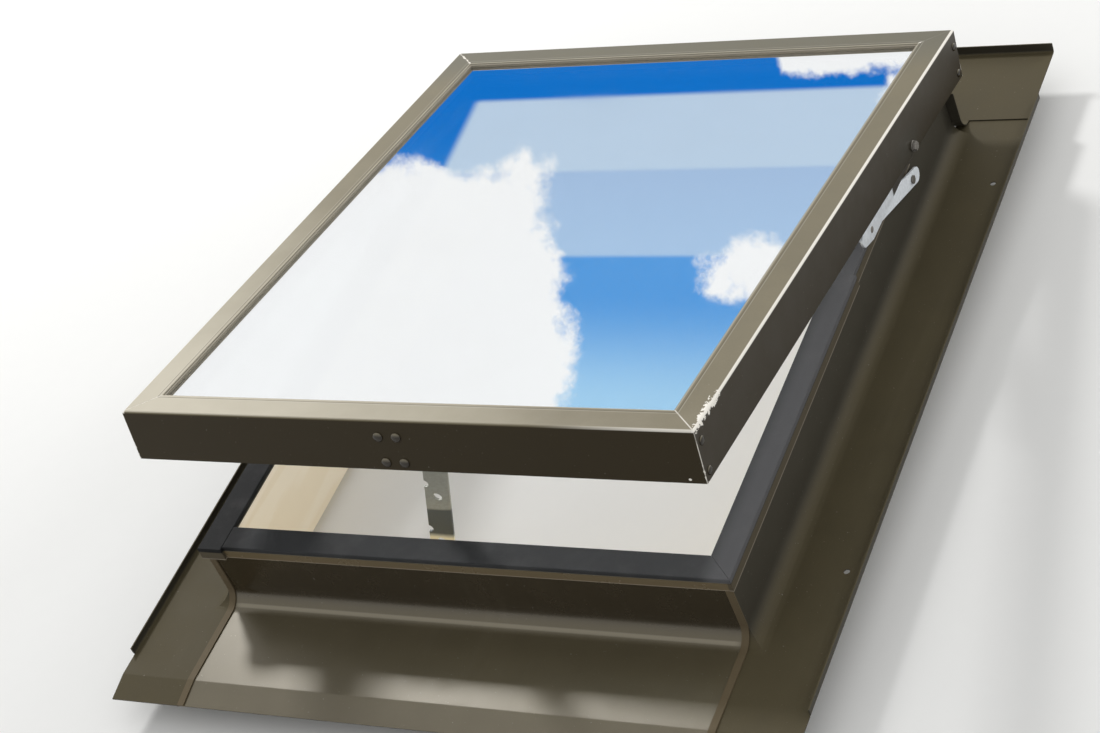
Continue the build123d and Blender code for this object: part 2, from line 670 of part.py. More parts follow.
# Sash rails and glazing beads: walls are inner start, inner end, low and high, measured
# inward from the skirt's outer face and up from the sash top
rail_walls = [
    (0, PROFILE_WALL, -SKIRT_DEPTH, 0),
    (0, RAIL_WIDTH, -PROFILE_WALL, 0),
    (RAIL_WIDTH - PROFILE_WALL, RAIL_WIDTH, -LIP_DEPTH, 0),
    (0, WEB_IN, -CHAMBER_FOOT, PROFILE_WALL - CHAMBER_FOOT),
    (WEB_IN - PROFILE_WALL, WEB_IN, -SASH_HEIGHT, 0),
]
bead_walls = [
    (WEB_IN, WEB_IN + FOOT_WIDTH, -SASH_HEIGHT, -GLASS_FOOT),
    (WEB_IN, WEB_IN + PROFILE_WALL, -SASH_HEIGHT, -BEAD_TOP),
]
sides = {
    "front": ((0, -1, 0), SASH_Y, SASH_X),
    "right": ((1, 0, 0), SASH_X, SASH_Y),
    "rear": ((0, 1, 0), SASH_Y, SASH_X),
    "left": ((-1, 0, 0), SASH_X, SASH_Y),
}
leg_left = STAY_X - (STAY_EAR_SPACING + STAY_EAR) / 2
leg_right = STAY_X + (STAY_EAR_SPACING + STAY_EAR) / 2
leg_tip = -SASH_Y + STAY_BACK + STAY_EYE
leg_plane = swung(Plane.XY.offset(SASH_TOP - SASH_HEIGHT))


def member(side_name, walls, rounding=0.0):
    """One side of the sash: a straight profile mitred at both ends."""
    outward, distance, half_length = sides[side_name]
    outer = Vector(*outward)
    flat = Plane(
        origin=outer * distance + Vector(0, 0, SASH_TOP),
        x_dir=-outer,
        z_dir=Vector(0, 0, 1).cross(outer),
    )
    plane = swung(flat)
    with BuildPart() as piece:
        with BuildSketch(plane) as section:
            for start, end, low, high in walls:
                with Locations((start, low)):
                    Rectangle(end - start, high - low, align=Align.MIN)
            if rounding:
                fillet(section.vertices().sort_by_distance((0, 0))[0], rounding)
        extrude(amount=half_length, both=True)
        for end in (-1, 1):
            mitre = Plane(
                origin=plane.origin + plane.z_dir * (end * half_length),
                z_dir=plane.x_dir + plane.z_dir * end,
            )
            split(bisect_by=mitre, keep=Keep.BOTTOM)
        # Slot that lets the stay's leg through
        with BuildSketch(leg_plane):
            with Locations((leg_left, leg_tip)):
                Rectangle(
                    leg_right - leg_left, STAY_BACK - PROFILE_WALL, align=(Align.MIN, Align.MAX)
                )
        extrude(amount=PROFILE_WALL, mode=Mode.SUBTRACT)
    return piece


for side_name in sides:
    keep(member(side_name, rail_walls, EDGE_ROUNDING), f"rail_{side_name}")
    keep(member(side_name, bead_walls), f"bead_{side_name}")


def corner_pieces(width, arm, low, high):
    """Four L pieces that fill the inside corners of the skirts between two levels."""
    with BuildPart() as group:
        with BuildSketch(swung(Plane.XY.offset(SASH_TOP - low))):
            Rectangle(2 * SKIRT_IN_X, 2 * SKIRT_IN_Y)
            Rectangle(2 * (SKIRT_IN_X - width), 2 * (SKIRT_IN_Y - width), mode=Mode.SUBTRACT)
            Rectangle(2 * (SKIRT_IN_X - arm), 2 * SKIRT_IN_Y, mode=Mode.SUBTRACT)
            Rectangle(2 * SKIRT_IN_X, 2 * (SKIRT_IN_Y - arm), mode=Mode.SUBTRACT)
        extrude(amount=low - high)
    return group


keep(
    corner_pieces(CHAMBER_WIDTH, KEY_ARM, PROFILE_WALL + CHAMBER_DEPTH, PROFILE_WALL),
    "corner_keys",
)
keep(corner_pieces(ANGLE_SHEET, ANGLE_ARM, ANGLE_FOOT, CHAMBER_FOOT), "corner_angles")
keep(buttons(corner_rivets, RIVET), "corner_rivets")

# Glass unit and the gasket between it and the rails
outer_pane_plane = swung(Plane.XY.offset(SASH_TOP - GLASS_TOP - PANE))
spacer_plane = swung(Plane.XY.offset(SASH_TOP - GLASS_FOOT + PANE))
inner_pane_plane = swung(Plane.XY.offset(SASH_TOP - GLASS_FOOT))
spacer_out = GLASS_EDGE + SPACER_INSET
keep(framed(outer_pane_plane, GLASS_EDGE, 0, PANE), "pane_outer")
keep(framed(spacer_plane, spacer_out, spacer_out + SPACER_WIDTH, PANE_GAP), "glass_spacer")
keep(framed(inner_pane_plane, GLASS_EDGE, 0, PANE), "pane_inner")
gasket_plane = swung(Plane.XY.offset(SASH_TOP - GLASS_TOP))
gasket_in = RAIL_WIDTH + GASKET_SHOW
with BuildPart() as glazing_gasket:
    add(framed(gasket_plane, RAIL_WIDTH - GASKET_COVER, gasket_in, GLAZING_GASKET).part)
    add(framed(gasket_plane, RAIL_WIDTH, gasket_in, GLAZING_GASKET + GASKET_RISE).part)
keep(glazing_gasket, "glazing_gasket")

# Stay bracket behind the front skirt, with a leg that reaches in below the glass
with BuildPart() as stay_bracket:
    with BuildSketch(swung(Plane.XZ.offset(SKIRT_IN_Y))):
        plate_left = BRACKET_RIVETS_X - BRACKET_RIVET_SPACING / 2 - BRACKET_EDGE
        with Locations((plate_left, SASH_TOP - BRACKET_FOOT)):
            Rectangle(leg_right - plate_left, BRACKET_FOOT - CHAMBER_FOOT, align=Align.MIN)
    extrude(amount=-BRACKET_SHEET)
    with BuildSketch(leg_plane):
        with Locations((leg_left, leg_tip)):
            Rectangle(
                leg_right - leg_left,
                leg_tip + SKIRT_IN_Y,
                align=(Align.MIN, Align.MAX),
            )
    extrude(amount=PROFILE_WALL)
    for ear_x in (leg_left, leg_right - STAY_EAR):
        with BuildSketch(swung(Plane.YZ.offset(ear_x))):
            with Locations((stay_spot[1], stay_spot[2])):
                RegularPolygon(STAY_EYE, TURNED_SIDES)
                Rectangle(
                    2 * STAY_EYE, STAY_DROP - SASH_HEIGHT, align=(Align.CENTER, Align.MIN)
                )
                Circle(PIN_RADIUS, mode=Mode.SUBTRACT)
        extrude(amount=STAY_EAR)
keep(stay_bracket, "stay_bracket")
keep(buttons(bracket_rivets, BIG_RIVET), "stay_rivets")

stay_pin_end = (STAY_EAR_SPACING + STAY_EAR) / 2
stay_pin_shank = (-stay_pin_end - PIN_END, stay_pin_end + PIN_END, PIN_RADIUS)
stay_pin_plane = swung(facing(*stay_spot, (1, 0, 0)))
keep(turned([stay_pin_plane], stay_pin_shank, []), "stay_hinge_pin")

# Shackle: a barrel on the hinge pin with a tongue down to the stay's rivet
tongue_front = STAY_THICKNESS / 2 + SIDE_PLAY
tongue_back = tongue_front + STAY_THICKNESS
with BuildPart() as shackle:
    with BuildSketch(Plane(origin=stay_pin, x_dir=(0, 1, 0), z_dir=(1, 0, 0))):
        RegularPolygon(STAY_EYE, TURNED_SIDES)
    extrude(amount=(STAY_EAR_SPACING - STAY_EAR) / 2 - SIDE_PLAY, both=True)
    tongue_plane = Plane(origin=stay_rivet, x_dir=(-1, 0, 0), z_dir=(0, 1, 0))
    with BuildSketch(tongue_plane.offset(tongue_front)):
        Circle(TONGUE_WIDTH / 2)
        Rectangle(TONGUE_WIDTH, TONGUE_DROP, align=(Align.CENTER, Align.MIN))
        Circle(STUD_RADIUS, mode=Mode.SUBTRACT)
    extrude(amount=tongue_back - tongue_front)
    with BuildSketch(Plane(origin=stay_pin, x_dir=(0, 1, 0), z_dir=(1, 0, 0))):
        Circle(PIN_RADIUS + FIT)
    extrude(amount=STAY_EAR_SPACING, both=True, mode=Mode.SUBTRACT)
keep(shackle, "stay_shackle")

stay_rivet_heads = [
    (-tongue_back - PIN_END, -tongue_back, STUD_HEAD),
    (tongue_front, tongue_front + PIN_END, 2 * STUD_RADIUS),
]
rivet_plane = Plane(origin=stay_rivet, x_dir=(1, 0, 0), z_dir=(0, -1, 0))
stay_rivet_shank = (-tongue_back, tongue_front, STUD_RADIUS)
keep(turned([rivet_plane], stay_rivet_shank, stay_rivet_heads), "stay_bar_rivet")

# Stay bar: rounded at the rivet, with holes and side notches for the peg
with BuildPart() as stay_bar:
    with BuildSketch(Plane(origin=stay_rivet, x_dir=stay_down, z_dir=(0, -1, 0))) as outline:
        Rectangle(STAY_REACH, STAY_WIDTH, align=(Align.MIN, Align.CENTER))
        fillet(outline.vertices().group_by(Axis.X)[-1], STAY_CORNER)
        Circle(STAY_WIDTH / 2)
        Circle(STUD_RADIUS + FIT, mode=Mode.SUBTRACT)
        for hole in hole_spots:
            with Locations((hole, 0), (hole - NOTCH_BEFORE_HOLE, -STAY_WIDTH / 2)):
                Circle(HOLE_RADIUS, mode=Mode.SUBTRACT)
    extrude(amount=STAY_THICKNESS / 2, both=True)
keep(stay_bar, "stay_bar")

peg_shank = (0, PEG_LENGTH, PEG_RADIUS)
keep(turned([peg_spot], peg_shank, [(0, PIN_END, 2 * PEG_RADIUS)]), "stay_peg")
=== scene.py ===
"""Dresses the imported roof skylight: softened edges, real fastener heads, finishes and a stage."""

import json
from math import cos, pi, radians, sin

import bmesh
import bpy
from bpy.props import FloatProperty, FloatVectorProperty, IntProperty, PointerProperty
from mathutils import Matrix, Vector


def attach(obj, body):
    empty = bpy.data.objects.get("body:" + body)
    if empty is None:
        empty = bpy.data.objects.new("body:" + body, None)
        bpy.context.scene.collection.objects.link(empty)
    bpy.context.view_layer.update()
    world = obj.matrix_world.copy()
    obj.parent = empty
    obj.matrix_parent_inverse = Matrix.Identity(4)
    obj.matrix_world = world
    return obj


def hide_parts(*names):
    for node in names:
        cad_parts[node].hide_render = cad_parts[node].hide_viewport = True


bl_info = {
    "name": "Roof skylight looks",
    "version": (1, 0, 0),
    "blender": (4, 5, 0),
    "location": "View3D > Sidebar > Skylight",
    "description": "Finishes, edges, fastener heads and stage for the small roof skylight",
    "category": "Object",
}

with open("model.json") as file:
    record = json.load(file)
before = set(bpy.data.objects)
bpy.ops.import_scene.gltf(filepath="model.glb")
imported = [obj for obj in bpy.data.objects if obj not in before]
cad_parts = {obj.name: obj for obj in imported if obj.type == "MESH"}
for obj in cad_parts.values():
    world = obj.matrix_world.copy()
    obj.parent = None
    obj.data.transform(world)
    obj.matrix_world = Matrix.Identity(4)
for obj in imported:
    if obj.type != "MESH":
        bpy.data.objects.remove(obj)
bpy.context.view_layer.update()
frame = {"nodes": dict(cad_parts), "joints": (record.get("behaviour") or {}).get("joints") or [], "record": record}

MM = 0.001
hinge = next(joint for joint in frame["joints"] if joint["name"] == "sash_hinge")
HINGE = Vector(hinge["pos_m"])
OPENING = radians(-hinge["range_deg"][0])
SASH_HALF = (225 * MM, 275 * MM)
SASH_TOP = 113.8 * MM
SKIRT_FOOT = SASH_TOP - 41 * MM
RAIL_LIP = 19.4 * MM
BOLT = (150.7 * MM, SASH_TOP - 34.8 * MM)
PIVOT_Y = 50.7 * MM
STAY_BAND = 84 * MM
STUD_END = Vector((223.5 * MM, 50.7 * MM, 65.5 * MM))
RIM_FOOT = 77.5 * MM
RIM_TOP = 85 * MM
WALL = (213 * MM, 263 * MM)
LAP_INNER = 207.5 * MM
COVE = (-270.4 * MM, 29.6 * MM)
# Spans over which the seals' painted light and painted shade come in
LIT_SEAL_FROM = (188 * MM, 205 * MM)
SHADED_SEAL_TO = (-190 * MM, -170 * MM)
SMOOTH_BELOW = radians(35)

# Sheen of the coats, and colours of single marks
SASH_SHEEN = (0.85, 0.72, 0.46)
SHEET_SHEEN = (0.95, 0.88, 0.74)
REAR_SHADE = (0.11, 0.11, 0.09)
# Painted shade in the groove beside the glass, and painted light on its edge
GROOVE_SHADE = (0.07, 0.06, 0.04)
GROOVE_LIT = (0.60, 0.57, 0.50)
BOLT_SMEAR = (0.018, 0.018, 0.013)
COVE_LIT = (0.30, 0.27, 0.20)
RIM_LINE = (0.45, 0.40, 0.33)
STREAK = (0.16, 0.14, 0.10)
DUST_GREY = (0.16, 0.155, 0.15)
# Colours of the seals' painted light and painted shade
SEAL_LIT_GREY = (0.08, 0.08, 0.083)
SEAL_SHADE_BLACK = (0.004, 0.004, 0.004)
PANE_CLEAR = (0.97, 0.97, 0.97)
COAT_CLEAR = (0.9, 0.9, 0.9)
STAY_ZINC = (0.33, 0.33, 0.28)
# Painted reflections on the stay bar
STAY_DARK_REFLECTION = (0.035, 0.045, 0.045)
STAY_PALE_REFLECTION = (0.85, 0.78, 0.58)

# The clear gap in the clouds that the glass mirrors: aside is x / y and rise is z / y of a way
BANK = (-0.592, 0.322)
PUFF = ((-0.462, 0.040), (0.384, 0.020))
WISP = (-0.455, 0.287)
GAP_ASIDE = (-0.72, -0.400)
GAP_RISE = (0.262, 0.50)


def tone(red, green, blue):
    """A screen colour from 0 to 255, as the linear colour that shaders take."""
    parts = [part / 255 for part in (red, green, blue)]
    return tuple(p / 12.92 if p <= 0.04045 else ((p + 0.055) / 1.055) ** 2.4 for p in parts)


def colour(name, description, red, green, blue):
    """A colour property with its default given as a screen colour."""
    return FloatVectorProperty(
        name=name, description=description, subtype="COLOR", min=0, max=1,
        default=tone(red, green, blue),
    )


def rounding_size(name, description, size, limit):
    """A property for how far an edge is rounded, in millimetres."""
    return FloatProperty(
        name=name, description=description, default=size * MM, min=0, max=limit * MM,
        subtype="DISTANCE", unit="LENGTH", precision=5,
    )


class SkylightFinish(bpy.types.PropertyGroup):
    """Colours of the skylight's finishes."""

    # Upright and sky-facing coats are a shaded and a lit copy of one bronze coat: painted shade and painted sky
    # light
    coat_side: colour("Coat, upright", "Bronze coat on upright sash faces", 34, 27, 15)
    coat_top: colour("Coat, weathered and sky-lit", "Bronze coat on faces turned to the sky", 116, 109, 90)
    # Pale colour painted as sheen on the sash top and as light on the lip's inner face
    coat_painted_sheen: colour("Coat, painted sheen", "Pale colour painted as sheen and as light on the lip", 182, 176, 160)
    # Primer of chips and seams, also painted as the highlight along the outer edges
    coat_chip_and_highlight: colour("Chipped coat", "Primer where the coat is chipped, and the painted edge highlight", 240, 236, 227)
    # The flashing's upright and level colours are a shaded and a lit copy of one coat: painted shade and painted
    # sky light
    sheet_side: colour("Sheet, upright", "Coat on the upright flashing faces", 42, 35, 23)
    # Lighter copy for the side and head sheets' upright faces, as painted light
    sheet_lit_upright: colour("Sheet, lit upright", "Coat on the side flashings, painted lighter as lit", 60, 57, 49)
    sheet_top: colour("Sheet, weathered and sky-lit", "Coat on the flashing's level faces", 76, 69, 50)
    rim: colour("Rim", "Folded rim below the gasket", 110, 97, 74)
    lap: colour("Lap", "Narrow lap strips at the front corners", 98, 86, 66)
    timber_pale: colour("Timber, pale", "Early wood of the pine boards", 250, 240, 219)
    timber_dark: colour("Timber, dark", "Late wood of the pine boards", 242, 228, 200)
    seal: colour("Seal", "Charcoal weather seal", 44, 45, 46)
    # Pale colour painted on the glazing seal as light on a seal in shade
    glazing: colour("Glazing seal", "Seal round the panes, painted pale as lit", 150, 144, 130)
    zinc: colour("Zinc", "Bright zinc plating", 230, 235, 240)
    alloy: colour("Alloy", "Bare mill-finish aluminium", 198, 200, 203)
    old_zinc: colour("Old zinc", "Dulled zinc of bolts and studs", 128, 124, 118)
    glass: colour("Glass", "Clear glass with a faint cool tint", 246, 250, 250)
    sun_coat: colour("Sun coat", "Mirror coat on the outer pane", 252, 254, 255)


class SkylightSizes(bpy.types.PropertyGroup):
    """Sizes of the details that the looks add."""

    sheet_edge: rounding_size("Sheet edge", "Rounding of cut sheet edges", 0.22, 1)
    profile_edge: rounding_size("Profile edge", "Rounding of the rails' sharp edges", 0.35, 1)
    board_edge: rounding_size("Board edge", "Eased edges of the timber", 0.9, 3)
    head_segments: IntProperty(
        name="Head segments", description="Segments round each fastener head", default=40,
        min=12, max=96,
    )


class SkylightStage(bpy.types.PropertyGroup):
    """Light, floor and backdrop."""

    floor: colour("Floor", "Plain pale floor", 236, 236, 234)
    sky_deep: colour("Sky, deep", "Deep blue of the mirrored sky", 20, 118, 208)
    sky_blue: colour("Sky, blue", "Clear sky above the deep blue", 84, 158, 228)
    sky_pale: colour("Sky, pale", "Palest blue of the clear sky", 168, 214, 246)
    haze: colour("Haze", "Haze across the clear sky", 208, 226, 240)
    fill: FloatProperty(
        name="Fill", description="Strength of the soft light from all round", default=0.72,
        min=0, max=3,
    )
    key: FloatProperty(
        name="Key", description="Power of the soft lamp behind at the left", default=44.0, min=0,
        max=500, unit="POWER",
    )
    edge: FloatProperty(
        name="Edge", description="Power of the strip lamp behind at the right", default=18.0,
        min=0, max=500, unit="POWER",
    )


# Small helpers for shader trees
def add(tree, kind, **values):
    """A new node; values name its properties or its input sockets."""
    node = tree.nodes.new(kind)
    for key, value in values.items():
        if hasattr(node, key) and not isinstance(value, bpy.types.NodeSocket):
            setattr(node, key, value)
        else:
            feed(tree, node.inputs[key], value)
    return node


def feed(tree, socket, value):
    """Link an output into a socket, or set the socket's own value."""
    if isinstance(value, bpy.types.NodeSocket):
        tree.links.new(value, socket)
    elif socket.type == "RGBA" and len(value) == 3:
        socket.default_value = (*value, 1)
    else:
        socket.default_value = value


def calc(tree, operation, *terms, clamp=False):
    """One step of arithmetic on sockets or numbers."""
    node = tree.nodes.new("ShaderNodeMath")
    node.operation = operation
    node.use_clamp = clamp
    for socket, term in zip(node.inputs, terms):
        feed(tree, socket, term)
    return node.outputs[0]


def times(tree, first, *rest):
    """The product of all the terms."""
    for term in rest:
        first = calc(tree, "MULTIPLY", first, term)
    return first


def most(tree, first, *rest):
    """The largest of the terms."""
    for term in rest:
        first = calc(tree, "MAXIMUM", first, term)
    return first


def least(tree, one, other):
    """The smaller term."""
    return calc(tree, "MINIMUM", one, other)


def minus(tree, one, other):
    """One less the other."""
    return calc(tree, "SUBTRACT", one, other)


def linear(tree, value, slope, start):
    """A value times a slope, added to a start."""
    return calc(tree, "MULTIPLY_ADD", value, slope, start)


def apart(tree, one, other):
    """How far two values are apart."""
    return calc(tree, "ABSOLUTE", minus(tree, one, other))


def ramp(tree, value, low, high, out_low=0.0, out_high=1.0):
    """A smooth step of a value between two limits."""
    node = tree.nodes.new("ShaderNodeMapRange")
    node.interpolation_type = "SMOOTHSTEP"
    for socket, term in zip(node.inputs, (value, low, high, out_low, out_high)):
        feed(tree, socket, term)
    return node.outputs[0]


def fall(tree, value, low, high):
    """A smooth step down, from one to nought, between two limits."""
    return ramp(tree, value, low, high, 1.0, 0.0)


def blend(tree, factor, one, other, mode="MIX"):
    """A mix of two colours."""
    node = tree.nodes.new("ShaderNodeMix")
    node.data_type = "RGBA"
    node.blend_type = mode
    node.clamp_factor = True
    feed(tree, node.inputs[0], factor)
    feed(tree, node.inputs[6], one)
    feed(tree, node.inputs[7], other)
    return node.outputs[2]


def paint(tree, base, shade, *masks):
    """A colour laid over a base where all the masks are high."""
    return blend(tree, times(tree, *masks), base, shade)


def noise(tree, where, scale, detail=3.0, roughness=0.5):
    """The value of a noise texture."""
    node = add(
        tree, "ShaderNodeTexNoise", Vector=where, Scale=scale, Detail=detail, Roughness=roughness
    )
    return node.outputs["Fac"]


def stretch(tree, where, sizes):
    """Coordinates scaled differently along each axis."""
    return add(tree, "ShaderNodeMapping", Vector=where, Scale=sizes).outputs[0]


def parts_of(tree, vector):
    """The three parts of a vector."""
    return add(tree, "ShaderNodeSeparateXYZ", Vector=vector).outputs


def shader_group(name, inputs, outputs, build):
    """A shader node group, built once: build takes the tree and its input sockets by name."""
    if name in bpy.data.node_groups:
        return bpy.data.node_groups[name]
    tree = bpy.data.node_groups.new(name, "ShaderNodeTree")
    for label, kind, default in inputs:
        socket = tree.interface.new_socket(label, in_out="INPUT", socket_type=kind)
        socket.default_value = (*default, 1) if kind == COLOUR and len(default) == 3 else default
    for label, kind in outputs:
        tree.interface.new_socket(label, in_out="OUTPUT", socket_type=kind)
    start = tree.nodes.new("NodeGroupInput")
    end = tree.nodes.new("NodeGroupOutput")
    given = {label: start.outputs[label] for label, kind, default in inputs}
    for label, socket in build(tree, given).items():
        tree.links.new(socket, end.inputs[label])
    return tree


FLOAT = "NodeSocketFloat"
COLOUR = "NodeSocketColor"
VECTOR = "NodeSocketVector"


def use_group(tree, group, **values):
    """A group placed in a material with its own values."""
    node = tree.nodes.new("ShaderNodeGroup")
    node.node_tree = group
    for key, value in values.items():
        feed(tree, node.inputs[key], value)
    return node.outputs


# Shader groups that several finishes share
def object_place(tree):
    """Where a point lies on the resting skylight."""
    return tree.nodes.new("ShaderNodeTexCoord").outputs["Object"]


def shut_place():
    """Coordinates in which the sash lies shut, so that its edges follow the axes."""

    def build(tree, given):
        turned = add(
            tree, "ShaderNodeVectorRotate", Vector=object_place(tree), Center=tuple(HINGE),
            Axis=(1, 0, 0), Angle=OPENING,
        )
        return {"Place": turned.outputs[0]}

    return shader_group("shut sash place", [], [("Place", VECTOR)], build)


def coat_film():
    """Satin coat: upright faces take a dark copy as painted shade; faces turned to the sky take a paler copy as
    painted sky light and weathering, and are dusty.
    """

    def build(tree, given):
        place = object_place(tree)
        up = parts_of(tree, tree.nodes.new("ShaderNodeTexCoord").outputs["Normal"])[2]
        sky = ramp(tree, up, 0.25, 0.9)
        broad = noise(tree, place, 7.0, 4.0, 0.55)
        cloudy = noise(tree, place, 45.0, 4.0, 0.6)
        fine = noise(tree, place, 900.0, 2.0)
        specks = ramp(tree, noise(tree, place, 420.0, 2.0, 0.7), 0.70, 0.78)
        # Painted light and shade: the coat is pale where faces turn to the sky and dark where they stand upright
        ground = blend(tree, sky, given["Side"], given["Top"])
        shade = times(tree, linear(tree, broad, 0.30, 0.85), linear(tree, cloudy, 0.24, 0.88),
                      linear(tree, fine, 0.16, 0.92))
        dark = add(tree, "ShaderNodeVectorMath", operation="SCALE", Vector=ground, Scale=shade)
        tinted = paint(tree, dark.outputs[0], (0.42, 0.40, 0.36), specks, given["Dust"])
        rough = linear(tree, sky, 0.10, linear(tree, cloudy, 0.16, 0.30))
        return {"Color": tinted, "Roughness": rough, "Height": fine}

    return shader_group(
        "coat film",
        [("Side", COLOUR, (0.05, 0.04, 0.03)), ("Top", COLOUR, (0.3, 0.27, 0.2)),
         ("Dust", FLOAT, 0.3)],
        [("Color", COLOUR), ("Roughness", FLOAT), ("Height", FLOAT)],
        build,
    )


def edge_chips():
    """Chips along an edge: a mask that needs the distance to the edge and its reach."""

    def build(tree, given):
        place = object_place(tree)
        ragged = noise(tree, place, 240.0, 5.0, 0.65)
        patchy = noise(tree, place, 24.0, 2.0)
        patch = most(tree, ramp(tree, patchy, 0.42, 0.62), given["Spread"])
        limit = times(tree, ramp(tree, ragged, 0.36, 0.64), patch, given["Reach"])
        near = calc(tree, "LESS_THAN", given["Distance"], limit)
        return {"Mask": times(tree, near, given["Amount"])}

    return shader_group(
        "edge chips",
        [("Distance", FLOAT, 0.01), ("Reach", FLOAT, 0.002), ("Amount", FLOAT, 1.0),
         ("Spread", FLOAT, 0.0)],
        [("Mask", FLOAT)],
        build,
    )


def run_off():
    """Faint streaks where water has run, for sheet and rails."""

    def build(tree, given):
        place = object_place(tree)
        streaks = noise(tree, stretch(tree, place, (90, 9, 9)), 1.0, 5.0, 0.6)
        patches = noise(tree, place, 12.0, 3.0)
        return {"Mask": times(tree, ramp(tree, streaks, 0.5, 0.72), ramp(tree, patches, 0.4, 0.7),
                              given["Amount"])}

    return shader_group(
        "run off", [("Amount", FLOAT, 0.4)], [("Mask", FLOAT)], build
    )


def pine_grain():
    """Planed pine: growth rings cut lengthwise, pores and a few darker streaks."""

    def build(tree, given):
        along = stretch(tree, object_place(tree), given["Stretch"])
        wander = noise(tree, along, 6.0, 2.0)
        rings = add(
            tree, "ShaderNodeTexWave", wave_type="RINGS", rings_direction="SPHERICAL",
            Vector=along, Scale=34.0, Distortion=7.0, Detail=3.0,
        )
        late = ramp(tree, rings.outputs["Fac"], 0.45, 0.95)
        pores = noise(tree, along, 420.0, 3.0, 0.7)
        shift = ramp(tree, wander, 0.35, 0.7, 0.0, 0.35)
        wood = blend(tree, calc(tree, "MULTIPLY_ADD", late, 0.5, shift, clamp=True),
                     given["Pale"], given["Dark"])
        wood = blend(tree, ramp(tree, pores, 0.62, 0.8, 0.0, 0.25), wood, given["Dark"], "MULTIPLY")
        rough = linear(tree, pores, 0.2, 0.5)
        return {"Color": wood, "Roughness": rough, "Height": pores}

    return shader_group(
        "pine grain",
        [("Pale", COLOUR, (0.7, 0.6, 0.4)), ("Dark", COLOUR, (0.5, 0.35, 0.2)),
         ("Stretch", VECTOR, (1, 1, 1))],
        [("Color", COLOUR), ("Roughness", FLOAT), ("Height", FLOAT)],
        build,
    )


def zinc_skin():
    """Bright zinc: faint crystal patches, fine scratches from rubbing and small dull spots."""

    def build(tree, given):
        place = object_place(tree)
        crystals = add(tree, "ShaderNodeTexVoronoi", Vector=place, Scale=given["Spangle"])
        facets = parts_of(tree, crystals.outputs["Color"])[0]
        rub_and_highlight = noise(tree, stretch(tree, place, (900, 60, 60)), 1.0, 3.0, 0.6)
        spots = ramp(tree, noise(tree, place, 130.0, 4.0, 0.6), 0.60, 0.72)
        lit = add(tree, "ShaderNodeVectorMath", operation="SCALE", Vector=given["Base"],
                  Scale=linear(tree, facets, 0.14, 0.88))
        metal = paint(tree, lit.outputs[0], (0.36, 0.36, 0.35), spots, 0.15)
        rough = linear(tree, facets, 0.08, given["Gloss"])
        rough = linear(tree, spots, 0.15, linear(tree, rub_and_highlight, 0.10, rough))
        return {"Color": metal, "Roughness": rough, "Height": rub_and_highlight}

    return shader_group(
        "zinc skin",
        [("Base", COLOUR, (0.6, 0.6, 0.6)), ("Spangle", FLOAT, 240.0), ("Gloss", FLOAT, 0.2)],
        [("Color", COLOUR), ("Roughness", FLOAT), ("Height", FLOAT)],
        build,
    )


# Materials
def finish_of():
    """The colours that the user can change."""
    return bpy.context.scene.skylight_finish


def material(name, build):
    """A material, built once: build takes the tree and returns the principled inputs."""
    if name in bpy.data.materials:
        return bpy.data.materials[name]
    made = bpy.data.materials.new(name)
    made.use_nodes = True
    tree = made.node_tree
    tree.nodes.clear()
    shader = tree.nodes.new("ShaderNodeBsdfPrincipled")
    end = tree.nodes.new("ShaderNodeOutputMaterial")
    tree.links.new(shader.outputs[0], end.inputs[0])
    inputs = build(tree)
    height = inputs.pop("Height", None)
    depth = inputs.pop("Depth", 0.1)
    clear = inputs.pop("Clear", None)
    if clear is not None:
        # Daylight passes straight through the panes; the sun coat dims direct light
        dimmed = blend(tree, inputs.pop("Dimmed"), PANE_CLEAR, COAT_CLEAR)
        through = add(tree, "ShaderNodeBsdfTransparent", Color=dimmed)
        mixed = tree.nodes.new("ShaderNodeMixShader")
        feed(tree, mixed.inputs[0], clear)
        tree.links.new(shader.outputs[0], mixed.inputs[1])
        tree.links.new(through.outputs[0], mixed.inputs[2])
        tree.links.new(mixed.outputs[0], end.inputs[0])
    for key, value in inputs.items():
        feed(tree, shader.inputs[key], value)
    if height is not None:
        bump = add(tree, "ShaderNodeBump", Strength=0.35, Distance=depth * MM, Height=height)
        tree.links.new(bump.outputs[0], shader.inputs["Normal"])
    return made


def level(tree, value, middle, half, soft):
    """A soft band: one where a value lies within half of the middle."""
    return fall(tree, apart(tree, value, middle), half, half + soft)


def spot(tree, *terms):
    """Squared distance from a middle, over the spot's half sizes: value, middle and size each."""
    total = 0.0
    for value, middle, size in terms:
        away = calc(tree, "DIVIDE", minus(tree, value, middle), size)
        total = linear(tree, away, away, total)
    return total


def chips_along(tree, distance, reach, amount=1.0, spread=0.0):
    """A mask of chips within reach of an edge."""
    group = use_group(tree, edge_chips(), Distance=distance, Reach=reach, Amount=amount,
                      Spread=spread)
    return group["Mask"]


